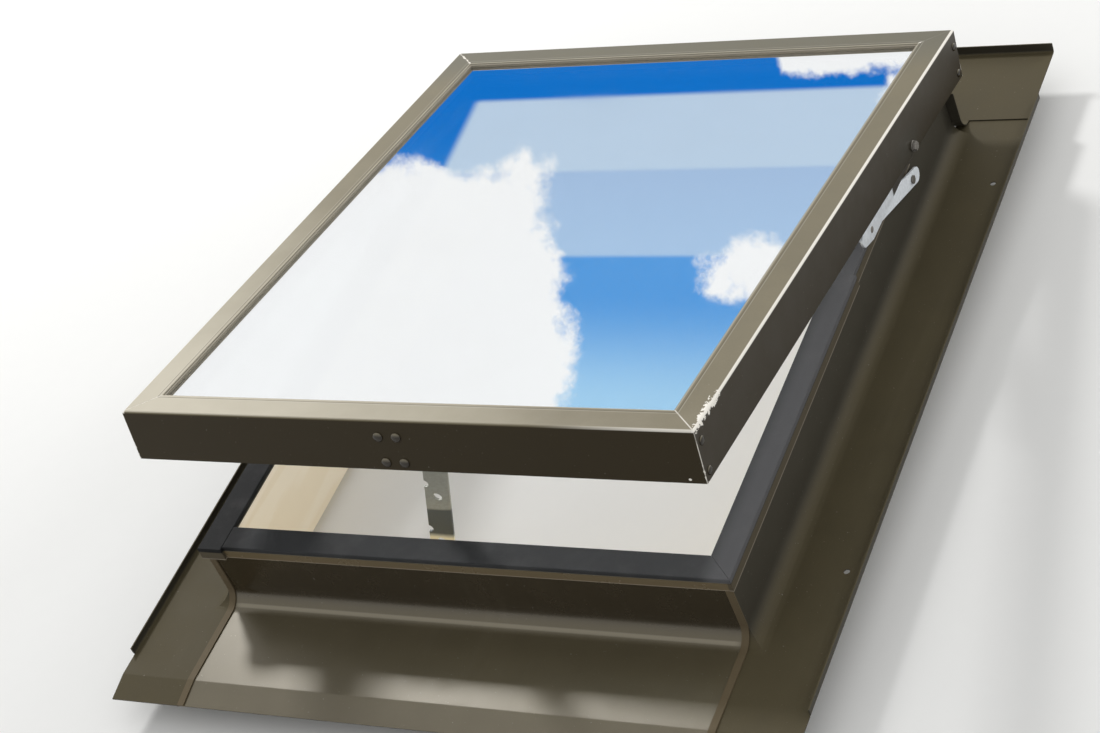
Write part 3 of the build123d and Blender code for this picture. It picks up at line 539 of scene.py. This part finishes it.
def sash_coat():
    """Coat of the rails and beads, with painted sheen and shade, seams, chips and a painted highlight along the
    outer edges.
    """

    def build(tree):
        colours = finish_of()
        film = use_group(tree, coat_film(), Side=colours.coat_side, Top=colours.coat_top, Dust=0.25)
        place = object_place(tree)
        x, y, z = parts_of(tree, use_group(tree, shut_place())["Place"])
        in_x = minus(tree, SASH_HALF[0], calc(tree, "ABSOLUTE", x))
        in_y = minus(tree, SASH_HALF[1], calc(tree, "ABSOLUTE", y))
        inset = least(tree, in_x, in_y)
        drop = minus(tree, SASH_TOP, z)
        flat = fall(tree, drop, 0.3 * MM, 0.8 * MM)
        # Painted sheen: the top is painted paler towards the front left, with noise, and painted shade darkens the
        # top of the rear rail
        sheen_paint = minus(tree, times(tree, x, -1.1), times(tree, y, 1.5))
        sheen_paint = linear(tree, noise(tree, place, 14.0, 4.0, 0.6), 0.22, sheen_paint)
        base = paint(tree, film["Color"], colours.coat_painted_sheen, ramp(tree, sheen_paint, 0.18, 0.82), flat)
        base = paint(tree, base, REAR_SHADE, ramp(tree, y, 0.20, 0.26), flat, 0.65)
        # Painted light: the inner face of the lip beside the glass is painted towards the pale sheen colour,
        # lifting its shade
        lip = ramp(tree, inset, RAIL_LIP + 1.5 * MM, RAIL_LIP + 2.2 * MM)
        base = paint(tree, base, colours.coat_painted_sheen, lip, fall(tree, drop, 4 * MM, 5 * MM), 0.8)
        # Mitres and corner seams, as pale hairlines with small chips
        mitre = times(tree, apart(tree, in_x, in_y), 0.7)
        corner = most(tree, in_x, in_y)
        seam = least(tree, most(tree, mitre, drop), corner)
        broken = ramp(tree, noise(tree, place, 90.0, 3.0), 0.35, 0.6, 0.35, 0.8)
        broken = times(tree, broken, ramp(tree, y, 0.0, 0.1, 1.0, 0.2))
        hairline = times(tree, fall(tree, seam, 0.25 * MM, 0.55 * MM), broken)
        chips = chips_along(tree, seam, 1.0 * MM, 0.85)
        # Painted highlight: the long outer edges, and the front edge near the right corner, are painted bright
        # along their rounding; the edge is chipped by the front right corner
        edge = most(tree, inset, drop)
        knocked = times(
            tree, ramp(tree, minus(tree, in_y, in_x), 0.0, 2.0 * MM),
            ramp(tree, y, -0.220, -0.236), ramp(tree, x, 0.19, 0.20),
        )
        bitten = chips_along(tree, edge, times(tree, knocked, 5.0 * MM), spread=1.0)
        side = fall(tree, in_x, 1.6 * MM, 2.2 * MM)
        near_corner = ramp(tree, x, 0.10, 0.215, 0.0, 0.8)
        rub_and_highlight = times(tree, fall(tree, edge, 1.1 * MM, 1.9 * MM), most(tree, side, near_corner))
        # A single chip low on the front, and a bruised corner foot
        chip = spot(tree, (x, 213.4 * MM, 1.1 * MM), (drop, 38 * MM, 0.9 * MM))
        chip = times(tree, ramp(tree, chip, 0.8, 1.2, 0.9, 0.0), ramp(tree, y, -0.27, -0.272))
        foot = most(tree, apart(tree, z, SKIRT_FOOT), corner)
        bruise = chips_along(tree, foot, times(tree, knocked, 2.6 * MM), 0.9, 1.0)
        # The pale colour covers real chips and seams and the painted edge highlight
        bare_and_highlight = most(tree, chips, bitten, chip, bruise, hairline, rub_and_highlight)
        # Rolled lip beside the glass, drawn as a fine groove with painted shade in it and a painted highlight
        # along its lit edge
        groove = times(tree, level(tree, inset, RAIL_LIP, 0.15 * MM, 0.35 * MM), flat)
        lit = level(tree, inset, RAIL_LIP - 0.9 * MM, 0.1 * MM, 0.5 * MM)
        base = paint(tree, base, GROOVE_SHADE, groove, 0.75)
        base = paint(tree, base, GROOVE_LIT, lit, flat, 0.25)
        # Smear round the bolt on each side skirt
        far = spot(tree, (y, BOLT[0] - 10 * MM, 34 * MM), (z, BOLT[1] + 5 * MM, 17 * MM))
        base = paint(tree, base, BOLT_SMEAR, ramp(tree, far, 0.05, 1.0, 0.5, 0.0),
                     fall(tree, in_x, 0.1 * MM, 0.4 * MM))
        return {
            "Base Color": paint(tree, base, colours.coat_chip_and_highlight, bare_and_highlight),
            "Roughness": linear(tree, rub_and_highlight, -0.12, film["Roughness"]),
            "Specular IOR Level": 0.3,
            "Specular Tint": SASH_SHEEN,
            "Height": minus(tree, film["Height"], times(tree, groove, 3.0)),
            "Depth": 0.05,
        }

    return material("sash coat", build)


def rivet_coat():
    """Rivet heads: the sash's coat, worn glossy by weather."""

    def build(tree):
        colours = finish_of()
        film = use_group(tree, coat_film(), Side=colours.coat_side, Top=colours.coat_top, Dust=0.5)
        return {"Base Color": film["Color"], "Height": film["Height"], "Depth": 0.03,
                "Roughness": minus(tree, film["Roughness"], 0.12),
                "Specular IOR Level": 0.45}

    return material("rivet coat", build)


def flashing_coat(dull=False):
    """Coat of the flashing; the sheets at the sides and head are duller, and their upright faces are painted
    lighter as painted light.
    """

    def build(tree):
        colours = finish_of()
        # Painted light: the side and head sheets' upright faces take a lighter colour than the front's
        upright = colours.sheet_lit_upright if dull else colours.sheet_side
        film = use_group(tree, coat_film(), Side=upright, Top=colours.sheet_top, Dust=0.35)
        x, y, z = parts_of(tree, object_place(tree))
        across = calc(tree, "ABSOLUTE", x)
        streaks = use_group(tree, run_off(), Amount=0.08)["Mask"]
        base = paint(tree, film["Color"], STREAK, streaks)
        # Folded rim below the gasket, with a lit line along its foot
        low = ramp(tree, z, RIM_FOOT - 0.1 * MM, RIM_FOOT)
        high = fall(tree, z, RIM_TOP - 0.6 * MM, RIM_TOP - 0.2 * MM)
        base = paint(tree, base, colours.rim, low, high, 0.25 if dull else 0.8)
        foot_line = level(tree, z, RIM_FOOT + 0.5 * MM, 0.25 * MM, 0.35 * MM)
        base = paint(tree, base, RIM_LINE, foot_line, 0.35)
        # Laps of the side sheets round the front corners
        inner = ramp(tree, across, LAP_INNER - 0.1 * MM, LAP_INNER)
        outer = fall(tree, across, WALL[0], WALL[0] + 0.1 * MM)
        front = ramp(tree, y, -WALL[1] + 0.2 * MM, -WALL[1])
        base = paint(tree, base, colours.lap, inner, outer, front, minus(tree, 1.0, low), 0.8)
        if not dull:
            # Light along the foot of the cove
            cove = spot(tree, (y, COVE[0], 1.8 * MM), (z, COVE[1], 1.4 * MM))
            base = paint(tree, base, COVE_LIT, ramp(tree, cove, 0.1, 1.6, 0.55, 0.0),
                         fall(tree, across, WALL[0] - 12 * MM, WALL[0] - 2 * MM))
        return {
            "Base Color": base,
            "Roughness": calc(tree, "ADD", film["Roughness"], 0.16 if dull else -0.12),
            "Specular IOR Level": 0.25 if dull else 1.0,
            "Specular Tint": SHEET_SHEEN,
            "Height": film["Height"],
            "Depth": 0.02,
        }

    return material("dull flashing coat" if dull else "flashing coat", build)


def pine(name, stretched):
    def build(tree):
        colours = finish_of()
        wood = use_group(tree, pine_grain(), Pale=colours.timber_pale, Dark=colours.timber_dark,
                         Stretch=stretched)
        return {"Base Color": wood["Color"], "Roughness": wood["Roughness"],
                "Height": wood["Height"], "Depth": 0.12}

    return material(name, build)


def weather_seal(name="weather seal", inner=False):
    def build(tree):
        place = object_place(tree)
        colours = finish_of()
        skin = noise(tree, place, 700.0, 3.0, 0.6)
        worn = noise(tree, place, 30.0, 4.0, 0.6)
        dust = ramp(tree, worn, 0.45, 0.75, 0.0, 0.12)
        # Painted light: the glazing seal is painted pale, lifting the shade that lies on it
        rubber = colours.glazing if inner else colours.seal
        if not inner:
            # Painted light and shade: the strip on the right is painted grey as lit, the one on the left painted
            # black as shaded
            x = parts_of(tree, place)[0]
            seal_light = ramp(tree, x, *LIT_SEAL_FROM, 0.05, 1.0)
            rubber = blend(tree, seal_light, rubber, SEAL_LIT_GREY)
            rubber = blend(tree, ramp(tree, x, *SHADED_SEAL_TO, 0.85, 0.0), rubber, SEAL_SHADE_BLACK)
        return {
            "Base Color": blend(tree, dust, rubber, DUST_GREY),
            "Roughness": linear(tree, skin, 0.2, 0.62),
            "Specular IOR Level": 0.2,
            "Height": skin,
            "Depth": 0.15,
        }

    return material(name, build)


def zinc(name, gloss, spangle, metallic=1.0, dull=False):
    def build(tree):
        base = finish_of().old_zinc if dull else finish_of().zinc
        skin = use_group(tree, zinc_skin(), Base=base, Gloss=gloss, Spangle=spangle)
        return {"Base Color": skin["Color"], "Roughness": skin["Roughness"], "Metallic": metallic,
                "Height": skin["Height"], "Depth": 0.02}

    return material(name, build)


def bright_zinc():
    return zinc("bright zinc", 0.22, 300.0)


def stay_zinc():
    """Bright zinc of the stay, with a dark band and a pale foot painted as reflections."""

    def build(tree):
        place = object_place(tree)
        skin = use_group(tree, zinc_skin(), Base=STAY_ZINC, Gloss=0.3, Spangle=600.0)
        ragged = linear(tree, noise(tree, place, 30.0, 2.0), 4 * MM, parts_of(tree, place)[2])
        dark_reflection = level(tree, ragged, STAY_BAND, 12 * MM, 3 * MM)
        foot = ramp(tree, ragged, STAY_BAND - 14 * MM, STAY_BAND - 18 * MM)
        # Painted reflections: a dark band across the bar and a pale one at its foot
        base = paint(tree, skin["Color"], STAY_DARK_REFLECTION, dark_reflection, 0.9)
        base = paint(tree, base, STAY_PALE_REFLECTION, foot, 0.9)
        return {"Base Color": base, "Roughness": skin["Roughness"], "Metallic": 0.15,
                "Height": skin["Height"], "Depth": 0.02}

    return material("stay zinc", build)


def plate_finish():
    """Coated plate, worn down to the zinc round the pivot by the link."""

    def build(tree):
        colours = finish_of()
        film = use_group(tree, coat_film(), Side=colours.coat_side, Top=colours.coat_top, Dust=0.2)
        skin = use_group(tree, zinc_skin(), Base=colours.zinc, Gloss=0.3, Spangle=300.0)
        y = parts_of(tree, use_group(tree, shut_place())["Place"])[1]
        limit = linear(tree, noise(tree, object_place(tree), 120.0, 4.0, 0.6), 2 * MM, y)
        coated = ramp(tree, limit, PIVOT_Y + 50 * MM, PIVOT_Y + 52 * MM)
        bare_and_highlight = minus(tree, 1.0, coated)
        return {
            "Base Color": blend(tree, coated, skin["Color"], film["Color"]),
            "Roughness": linear(tree, bare_and_highlight, -0.05, film["Roughness"]),
            "Metallic": times(tree, bare_and_highlight, 0.4),
            "Height": skin["Height"],
            "Depth": 0.02,
        }

    return material("worn plate", build)


def mill_alloy():
    def build(tree):
        place = object_place(tree)
        drawn = noise(tree, stretch(tree, place, (700, 40, 700)), 1.0, 2.0)
        streaked = ramp(tree, drawn, 0.3, 0.8, 0.0, 0.35)
        return {
            "Base Color": blend(tree, streaked, finish_of().alloy, (0.40, 0.41, 0.42)),
            "Roughness": linear(tree, drawn, 0.2, 0.28),
            "Metallic": 1.0,
            "Height": drawn,
            "Depth": 0.02,
        }

    return material("mill alloy", build)


def float_glass(mirror=False):
    def build(tree):
        place = object_place(tree)
        film = noise(tree, place, 9.0, 5.0, 0.6)
        colours = finish_of()
        tint = colours.sun_coat if mirror else colours.glass
        dust = ramp(tree, film, 0.45, 0.8, 0.0, 0.10)
        ray = tree.nodes.new("ShaderNodeLightPath").outputs
        return {
            "Base Color": blend(tree, dust, tint, (0.78, 0.80, 0.80)),
            "Roughness": ramp(tree, film, 0.4, 0.8, 0.004, 0.02),
            "Metallic": 0.85 if mirror else 0.0,
            "Transmission Weight": 1.0,
            "IOR": 1.52,
            "Clear": most(tree, ray["Is Shadow Ray"], ray["Is Diffuse Ray"]),
            "Dimmed": ray["Is Shadow Ray"] if mirror else 0.0,
        }

    return material("sun-coated glass" if mirror else "float glass", build)


# Mesh helpers
def dress(name, made):
    """Give a CAD node's object a finish; its mesh stays as it is."""
    node = frame["nodes"][name]
    if not node.material_slots:
        node.data.materials.append(made)
    for slot in node.material_slots:
        slot.material = made


def body_of(name):
    """The body that a CAD node belongs to."""
    bodies = frame["record"]["behaviour"]["bodies"]
    return next(body for body, nodes in bodies.items() if name in nodes)


def seat(piece, made, node):
    """Finish a new piece: material, body and the CAD node that it stands for, which is hidden."""
    piece.data.materials.clear()
    piece.data.materials.append(made)
    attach(piece, body_of(node))
    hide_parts(node)
    return piece


def linked(name, mesh):
    """An object for a mesh, in the scene."""
    piece = bpy.data.objects.new(name, mesh)
    bpy.context.scene.collection.objects.link(piece)
    return piece


def joined_mesh(node):
    """A node's mesh with its split corners joined and its flat faces whole."""
    shape = bmesh.new()
    shape.from_mesh(frame["nodes"][node].data)
    bmesh.ops.remove_doubles(shape, verts=shape.verts, dist=2e-6)
    bmesh.ops.dissolve_limit(
        shape, angle_limit=radians(0.5), verts=shape.verts, edges=shape.edges
    )
    return shape


def softened(node, width, made):
    """The node's own form with its sharp edges rounded as they are on the real piece."""
    shape = joined_mesh(node)
    mesh = bpy.data.meshes.new(node + "_soft")
    for face in shape.faces:
        face.smooth = True
    shape.to_mesh(mesh)
    shape.free()
    mesh.set_sharp_from_angle(angle=SMOOTH_BELOW)
    piece = linked(node + "_soft", mesh)
    rounding = piece.modifiers.new("rounded edges", "BEVEL")
    rounding.limit_method = "ANGLE"
    rounding.angle_limit = SMOOTH_BELOW
    rounding.width = width
    rounding.segments = 2
    rounding.harden_normals = True
    rounding.use_clamp_overlap = True
    even = piece.modifiers.new("even shading", "WEIGHTED_NORMAL")
    even.keep_sharp = True
    even.weight = 100
    return seat(piece, made, node)


def middle_of(points):
    """The mean of a list of points."""
    return sum(points, Vector()) / len(points)


def islands(node):
    """The separate solids of a CAD node, each as a list of corner points."""
    shape = joined_mesh(node)
    left = set(shape.verts)
    found = []
    while left:
        queue = [left.pop()]
        group = []
        while queue:
            corner = queue.pop()
            group.append(corner.co.copy())
            for edge in corner.link_edges:
                other = edge.other_vert(corner)
                if other in left:
                    left.remove(other)
                    queue.append(other)
        found.append(group)
    shape.free()
    return sorted(found, key=lambda group: tuple(round(v, 4) for v in middle_of(group)))


def turned_to(centre, direction):
    """A matrix that stands a piece drawn along +Z on a point, facing a direction."""
    z_axis = direction.normalized()
    hint = Vector((1, 0, 0)) if abs(z_axis.x) < 0.9 else Vector((0, 1, 0))
    x_axis = hint.cross(z_axis).normalized()
    y_axis = z_axis.cross(x_axis)
    matrix = Matrix((x_axis, y_axis, z_axis)).transposed().to_4x4()
    matrix.translation = centre
    return matrix


def lathe(shape, profile, matrix, segments, reach=None):
    """Turn a profile of radius and height about Z into a bmesh; reach changes radius by angle."""
    rings = []
    for radius, height in profile:
        if radius == 0:
            rings.append([shape.verts.new(matrix @ Vector((0, 0, height)))])
            continue
        ring = []
        for step in range(segments):
            angle = 2 * pi * step / segments
            far = radius * (reach(angle, height) if reach else 1)
            corner = Vector((far * cos(angle), far * sin(angle), height))
            ring.append(shape.verts.new(matrix @ corner))
        rings.append(ring)
    for low, high in zip(rings, rings[1:]):
        for step in range(segments):
            after = (step + 1) % segments
            corners = []
            for corner in (low[step % len(low)], low[after % len(low)],
                           high[after % len(high)], high[step % len(high)]):
                if corner not in corners:
                    corners.append(corner)
            shape.faces.new(corners)


def as_piece(name, shape):
    """Close a bmesh into an object with smooth shading across shallow edges."""
    bmesh.ops.recalc_face_normals(shape, faces=shape.faces)
    mesh = bpy.data.meshes.new(name)
    for face in shape.faces:
        face.smooth = True
    shape.to_mesh(mesh)
    shape.free()
    mesh.set_sharp_from_angle(angle=SMOOTH_BELOW)
    return linked(name, mesh)


def outward(node, group):
    """The way a fastener faces: sideways where it sits on a side, else along the slope."""
    centre = middle_of(group)
    spans = [max(v[i] for v in group) - min(v[i] for v in group) for i in range(3)]
    if spans[0] < min(spans[1], spans[2]):
        return Vector((1 if centre.x > 0 else -1, 0, 0))
    way = Vector((0, 1 if centre.y > 0 else -1, 0))
    if body_of(node) == "sash":
        way = Matrix.Rotation(-OPENING, 3, "X") @ way
    return way


def heads(node, name, profile, made, segments=None, reach=None, recess=0.0):
    """Round heads in place of a node's plain ones.

    The profile is in shares of each head's radius and height; a recess is a share of the height.
    """
    segments = segments or bpy.context.scene.skylight_sizes.head_segments
    shape = bmesh.new()
    for group in islands(node):
        way = outward(node, group)
        centre = middle_of(group)
        depths = [(point - centre).dot(way) for point in group]
        radius = max(((p - centre) - way * (p - centre).dot(way)).length for p in group)
        base = centre + way * min(depths)
        height = max(depths) - min(depths)
        scaled = [(r * radius, z * height) for r, z in profile]
        matrix = turned_to(base, way)
        before = len(shape.verts)
        lathe(shape, scaled, matrix, segments, reach)
        if recess:
            shape.verts.ensure_lookup_table()
            back = matrix.inverted()
            for corner in shape.verts[before:]:
                at = back @ corner.co
                arm = min(abs(at.x), abs(at.y)) < 0.16 * radius
                if at.z > 0.4 * height and arm and at.xy.length < 0.62 * radius:
                    at.z -= recess * height
                    corner.co = matrix @ at
    return seat(as_piece(name, shape), made, node)


def dome(rings):
    """A domed head: a short upright edge and a round cap."""
    flange = 0.12
    profile = [(0, 0), (0.97, 0), (1, 0.03), (1, flange)]
    for step in range(1, rings + 1):
        angle = pi / 2 * step / rings
        profile.append((cos(angle) if step < rings else 0, flange + (1 - flange) * sin(angle)))
    return profile


class SkylightOperator(bpy.types.Operator):
    """Shared options of the skylight's operators."""

    bl_options = {"REGISTER", "UNDO"}


class SKYLIGHT_OT_boards(SkylightOperator):
    """Ease the edges of the timber frame and give it planed pine"""

    bl_idname = "skylight.boards"
    bl_label = "Timber boards"

    def execute(self, context):
        sizes = context.scene.skylight_sizes
        for side in ("front", "rear"):
            softened(f"board_{side}", sizes.board_edge, pine("pine across", (0.12, 1, 1)))
        for side in ("left", "right"):
            softened(f"board_{side}", sizes.board_edge, pine("pine along", (1, 0.12, 1)))
        heads("board_screws", "board_screw_heads", dome(7), bright_zinc(), recess=0.3)
        return {"FINISHED"}


class SKYLIGHT_OT_flashing(SkylightOperator):
    """Round the cut edges of the flashing and give it its satin coat"""

    bl_idname = "skylight.flashing"
    bl_label = "Flashing"

    def execute(self, context):
        edge = context.scene.skylight_sizes.sheet_edge
        softened("front_flashing", edge, flashing_coat())
        for name in ("head_flashing", "side_flashing_left", "side_flashing_right"):
            softened(name, edge, flashing_coat(True))
        return {"FINISHED"}


class SKYLIGHT_OT_seals(SkylightOperator):
    """Charcoal weather seal on the frame"""

    bl_idname = "skylight.seals"
    bl_label = "Weather seals"

    def execute(self, context):
        edge = context.scene.skylight_sizes.profile_edge
        for side in ("front", "rear", "left", "right"):
            softened(f"gasket_{side}", edge, weather_seal())
        return {"FINISHED"}


class SKYLIGHT_OT_sash_rails(SkylightOperator):
    """Rails and glazing beads of the sash, with mitres that show as fine seams"""

    bl_idname = "skylight.sash_rails"
    bl_label = "Sash rails"

    def execute(self, context):
        edge = context.scene.skylight_sizes.profile_edge
        for side in ("front", "rear", "left", "right"):
            softened(f"rail_{side}", edge, sash_coat())
            softened(f"bead_{side}", edge, sash_coat())
        return {"FINISHED"}


class SKYLIGHT_OT_corner_joints(SkylightOperator):
    """Keys and angles inside the sash corners, and the domed rivets that hold them"""

    bl_idname = "skylight.corner_joints"
    bl_label = "Corner joints"

    def execute(self, context):
        dress("corner_keys", mill_alloy())
        softened("corner_angles", context.scene.skylight_sizes.sheet_edge, mill_alloy())
        heads("corner_rivets", "corner_rivet_heads", dome(9), rivet_coat())
        return {"FINISHED"}


class SKYLIGHT_OT_glazing(SkylightOperator):
    """Both panes, their spacer and the black gasket round them"""

    bl_idname = "skylight.glazing"
    bl_label = "Glazing"

    def execute(self, context):
        dress("pane_outer", float_glass(True))
        dress("pane_inner", float_glass())
        dress("glass_spacer", mill_alloy())
        softened("glazing_gasket", context.scene.skylight_sizes.profile_edge,
                 weather_seal("glazing seal", True))
        return {"FINISHED"}


class SKYLIGHT_OT_hinges(SkylightOperator):
    """Hinge leaves, pins, screws and rivets at the head"""

    bl_idname = "skylight.hinges"
    bl_label = "Hinges"

    def execute(self, context):
        edge = context.scene.skylight_sizes.sheet_edge
        metal = bright_zinc()
        for hand in ("left", "right"):
            softened(f"hinge_frame_leaf_{hand}", edge, metal)
            softened(f"hinge_sash_leaf_{hand}", edge, metal)
        softened("hinge_pins", edge, metal)
        heads("leaf_screws", "leaf_screw_heads", dome(7), metal, recess=0.3)
        heads("leaf_rivets", "leaf_rivet_heads", dome(9), metal)
        return {"FINISHED"}


class SKYLIGHT_OT_side_links(SkylightOperator):
    """Links, their anchors, plates, studs, bolts and washers"""

    bl_idname = "skylight.side_links"
    bl_label = "Side links"

    def execute(self, context):
        edge = context.scene.skylight_sizes.sheet_edge
        strap = zinc("strap zinc", 0.30, 600.0, 0.0)
        studs = zinc("dull zinc", 0.34, 400.0, 0.8, True)
        for hand in ("left", "right"):
            softened(f"link_anchor_{hand}", edge, flashing_coat(True))
            softened(f"side_link_{hand}", edge, strap)
            softened(f"link_plate_{hand}", edge, plate_finish())
        heads("anchor_screws", "anchor_screw_heads", dome(7), flashing_coat(True), recess=0.3)
        softened("anchor_studs", edge, studs)
        softened("link_studs", edge, studs)
        shape = bmesh.new()
        for side in (-1, 1):
            at = HINGE + Matrix.Rotation(-OPENING, 3, "X") @ (STUD_END - HINGE)
            at.x *= side
            matrix = turned_to(at, Vector((side, 0, 0)))
            scaled = [(r * 2.6 * MM, h * 0.6 * MM) for r, h in dome(5)]
            lathe(shape, scaled, matrix, context.scene.skylight_sizes.head_segments)
        ends = as_piece("link_stud_ends", shape)
        ends.data.materials.append(studs)
        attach(ends, "sash")

        def hexagon(angle, height):
            part = (angle + pi / 6) % (pi / 3) - pi / 6
            return cos(pi / 6) / cos(part)

        profile = [(0, 0), (1, 0), (1, 0.75), (0.90, 1), (0.5, 1), (0, 1)]
        heads("plate_bolts", "plate_bolt_heads", profile, studs, segments=48, reach=hexagon)
        heads("plate_washers", "plate_washer_rings",
              [(0, 0), (0.96, 0), (1, 0.15), (1, 0.8), (0.96, 1), (0, 1)], studs)
        return {"FINISHED"}


class SKYLIGHT_OT_stay(SkylightOperator):
    """Bracket, shackle, bar, peg and rivets of the front stay"""

    bl_idname = "skylight.stay"
    bl_label = "Front stay"

    def execute(self, context):
        edge = context.scene.skylight_sizes.sheet_edge
        metal = bright_zinc()
        for name in ("bracket", "shackle", "hinge_pin", "bar_rivet", "peg"):
            softened(f"stay_{name}", edge, metal)
        softened("stay_bar", edge, stay_zinc())
        heads("stay_rivets", "stay_rivet_heads", dome(9), rivet_coat())
        return {"FINISHED"}


# The photograph's camera, and how far off the lamps stand
CAMERA_PLACE = (0.908752, -1.233173, 1.25411)
CAMERA_RIGHT = (0.8757, 0.355481, -0.32678)
CAMERA_UP = (-0.018309, 0.700731, 0.713186)
FOCAL_PIXELS = 2531.1
PHOTO_WIDTH = 1100
SENSOR = 36.0
LAMP_REACH = 3.0


def cloudy_sky(tree, way, settings):
    """White cloud all round, with a gap of clear sky that has two bands of haze across it."""
    x, y, z = parts_of(tree, way)
    aside = calc(tree, "DIVIDE", x, y)
    rise = calc(tree, "DIVIDE", z, y)
    billow = minus(tree, noise(tree, way, 30.0, 6.0, 0.62), 0.5)
    bank = least(tree, minus(tree, BANK[0], aside), minus(tree, rise, BANK[1]))
    puff = minus(tree, 1.0, spot(tree, (aside, *PUFF[0]), (rise, *PUFF[1])))
    wisp = least(tree, minus(tree, aside, WISP[0]), minus(tree, WISP[1], rise))
    beyond = most(
        tree, minus(tree, GAP_ASIDE[0], aside), minus(tree, aside, GAP_ASIDE[1]),
        minus(tree, GAP_RISE[0], rise), minus(tree, rise, GAP_RISE[1]),
    )
    depth = most(tree, bank, times(tree, puff, 0.012), times(tree, wisp, 2.5), beyond)
    depth = linear(tree, billow, 0.075, depth)
    clouds = most(tree, ramp(tree, depth, -0.006, 0.006), ramp(tree, y, 0.35, 0.3))
    clear = blend(tree, ramp(tree, rise, 0.30, 0.375), settings.sky_deep, settings.sky_blue)
    clear = blend(tree, ramp(tree, rise, 0.39, 0.455), clear, settings.sky_pale)
    left_end = linear(tree, minus(tree, rise, 0.292), 0.77, aside)
    clear = paint(
        tree, clear, settings.haze, ramp(tree, rise, 0.2925, 0.2955),
        fall(tree, rise, 0.371, 0.374), ramp(tree, left_end, -0.614, -0.608),
        ramp(tree, rise, 0.3285, 0.331, 0.85, 0.62),
    )
    return blend(tree, clouds, clear, (1.0, 1.0, 1.0))


class SKYLIGHT_OT_stage(SkylightOperator):
    """Camera at the photograph's angle, pale floor, two lamps and cloudy sky"""

    bl_idname = "skylight.stage"
    bl_label = "Stage"

    def execute(self, context):
        scene = context.scene
        settings = scene.skylight_stage
        scene.view_settings.view_transform = "Standard"
        data = bpy.data.cameras.new("photo camera")
        data.sensor_width = SENSOR
        data.lens = FOCAL_PIXELS * SENSOR / PHOTO_WIDTH
        data.clip_start = 0.01
        data.clip_end = 100
        camera = bpy.data.objects.new("photo camera", data)
        scene.collection.objects.link(camera)
        right, up = Vector(CAMERA_RIGHT).normalized(), Vector(CAMERA_UP).normalized()
        back = right.cross(up).normalized()
        up = back.cross(right)
        turn = Matrix((right, up, back)).transposed().to_4x4()
        turn.translation = CAMERA_PLACE
        camera.matrix_world = turn
        scene.camera = camera

        shape = bmesh.new()
        bmesh.ops.create_grid(shape, x_segments=8, y_segments=8, size=12)
        floor = as_piece("floor", shape)
        floor.location.z = -0.2 * MM

        def plain(tree):
            speckle = ramp(tree, noise(tree, object_place(tree), 60.0, 3.0), 0.3, 0.7, 0, 0.03)
            return {"Base Color": blend(tree, speckle, settings.floor, (0.7, 0.7, 0.7)),
                    "Roughness": 0.85, "Specular IOR Level": 0.2}

        floor.data.materials.append(material("pale floor", plain))

        for name, power, width, height, way in (
            ("soft lamp", settings.key, 0.4, 0.4, (-0.56, 0.54, 0.63)),
            ("strip lamp", settings.edge, 0.8, 0.4, (0.52, 0.80, 0.30)),
        ):
            lamp = bpy.data.lights.new(name, "AREA")
            lamp.shape = "RECTANGLE"
            lamp.size = width
            lamp.size_y = height
            lamp.energy = power
            lit = bpy.data.objects.new(name, lamp)
            scene.collection.objects.link(lit)
            towards = Vector(way).normalized()
            lit.matrix_world = turned_to(towards * LAMP_REACH, towards)

        world = bpy.data.worlds.new("pale sky")
        scene.world = world
        world.use_nodes = True
        tree = world.node_tree
        tree.nodes.clear()
        end = tree.nodes.new("ShaderNodeOutputWorld")
        way = tree.nodes.new("ShaderNodeTexCoord").outputs["Generated"]
        sky = cloudy_sky(tree, way, settings)
        ray = tree.nodes.new("ShaderNodeLightPath").outputs
        seen = most(tree, ray["Is Camera Ray"], ray["Is Glossy Ray"], ray["Is Transmission Ray"])
        shown = add(tree, "ShaderNodeBackground", Color=sky, Strength=1.0)
        light = add(tree, "ShaderNodeBackground", Color=(1, 1, 1, 1), Strength=settings.fill)
        mixed = tree.nodes.new("ShaderNodeMixShader")
        tree.links.new(seen, mixed.inputs[0])
        tree.links.new(light.outputs[0], mixed.inputs[1])
        tree.links.new(shown.outputs[0], mixed.inputs[2])
        tree.links.new(mixed.outputs[0], end.inputs[0])
        return {"FINISHED"}


STEPS = (
    SKYLIGHT_OT_boards, SKYLIGHT_OT_flashing, SKYLIGHT_OT_seals, SKYLIGHT_OT_sash_rails,
    SKYLIGHT_OT_corner_joints, SKYLIGHT_OT_glazing, SKYLIGHT_OT_hinges, SKYLIGHT_OT_side_links,
    SKYLIGHT_OT_stay, SKYLIGHT_OT_stage,
)


class SKYLIGHT_PT_panel(bpy.types.Panel):
    """Sizes, colours and steps of the skylight's looks"""

    bl_idname = "SKYLIGHT_PT_panel"
    bl_label = "Roof skylight"
    bl_space_type = "VIEW_3D"
    bl_region_type = "UI"
    bl_category = "Skylight"

    def draw(self, context):
        scene = context.scene
        for group in (scene.skylight_sizes, scene.skylight_finish, scene.skylight_stage):
            column = self.layout.column()
            for name in group.__annotations__:
                column.prop(group, name)
        for step in STEPS:
            self.layout.operator(step.bl_idname)


GROUPS = {
    "skylight_finish": SkylightFinish,
    "skylight_sizes": SkylightSizes,
    "skylight_stage": SkylightStage,
}


def register():
    for name, group in GROUPS.items():
        bpy.utils.register_class(group)
        setattr(bpy.types.Scene, name, PointerProperty(type=group))
    for step in STEPS:
        bpy.utils.register_class(step)
    bpy.utils.register_class(SKYLIGHT_PT_panel)


def unregister():
    bpy.utils.unregister_class(SKYLIGHT_PT_panel)
    for step in reversed(STEPS):
        bpy.utils.unregister_class(step)
    for name, group in GROUPS.items():
        delattr(bpy.types.Scene, name)
        bpy.utils.unregister_class(group)


def main():
    register()
    for step in STEPS:
        area, name = step.bl_idname.split(".")
        getattr(getattr(bpy.ops, area), name)()


if __name__ == "__main__":
    main()
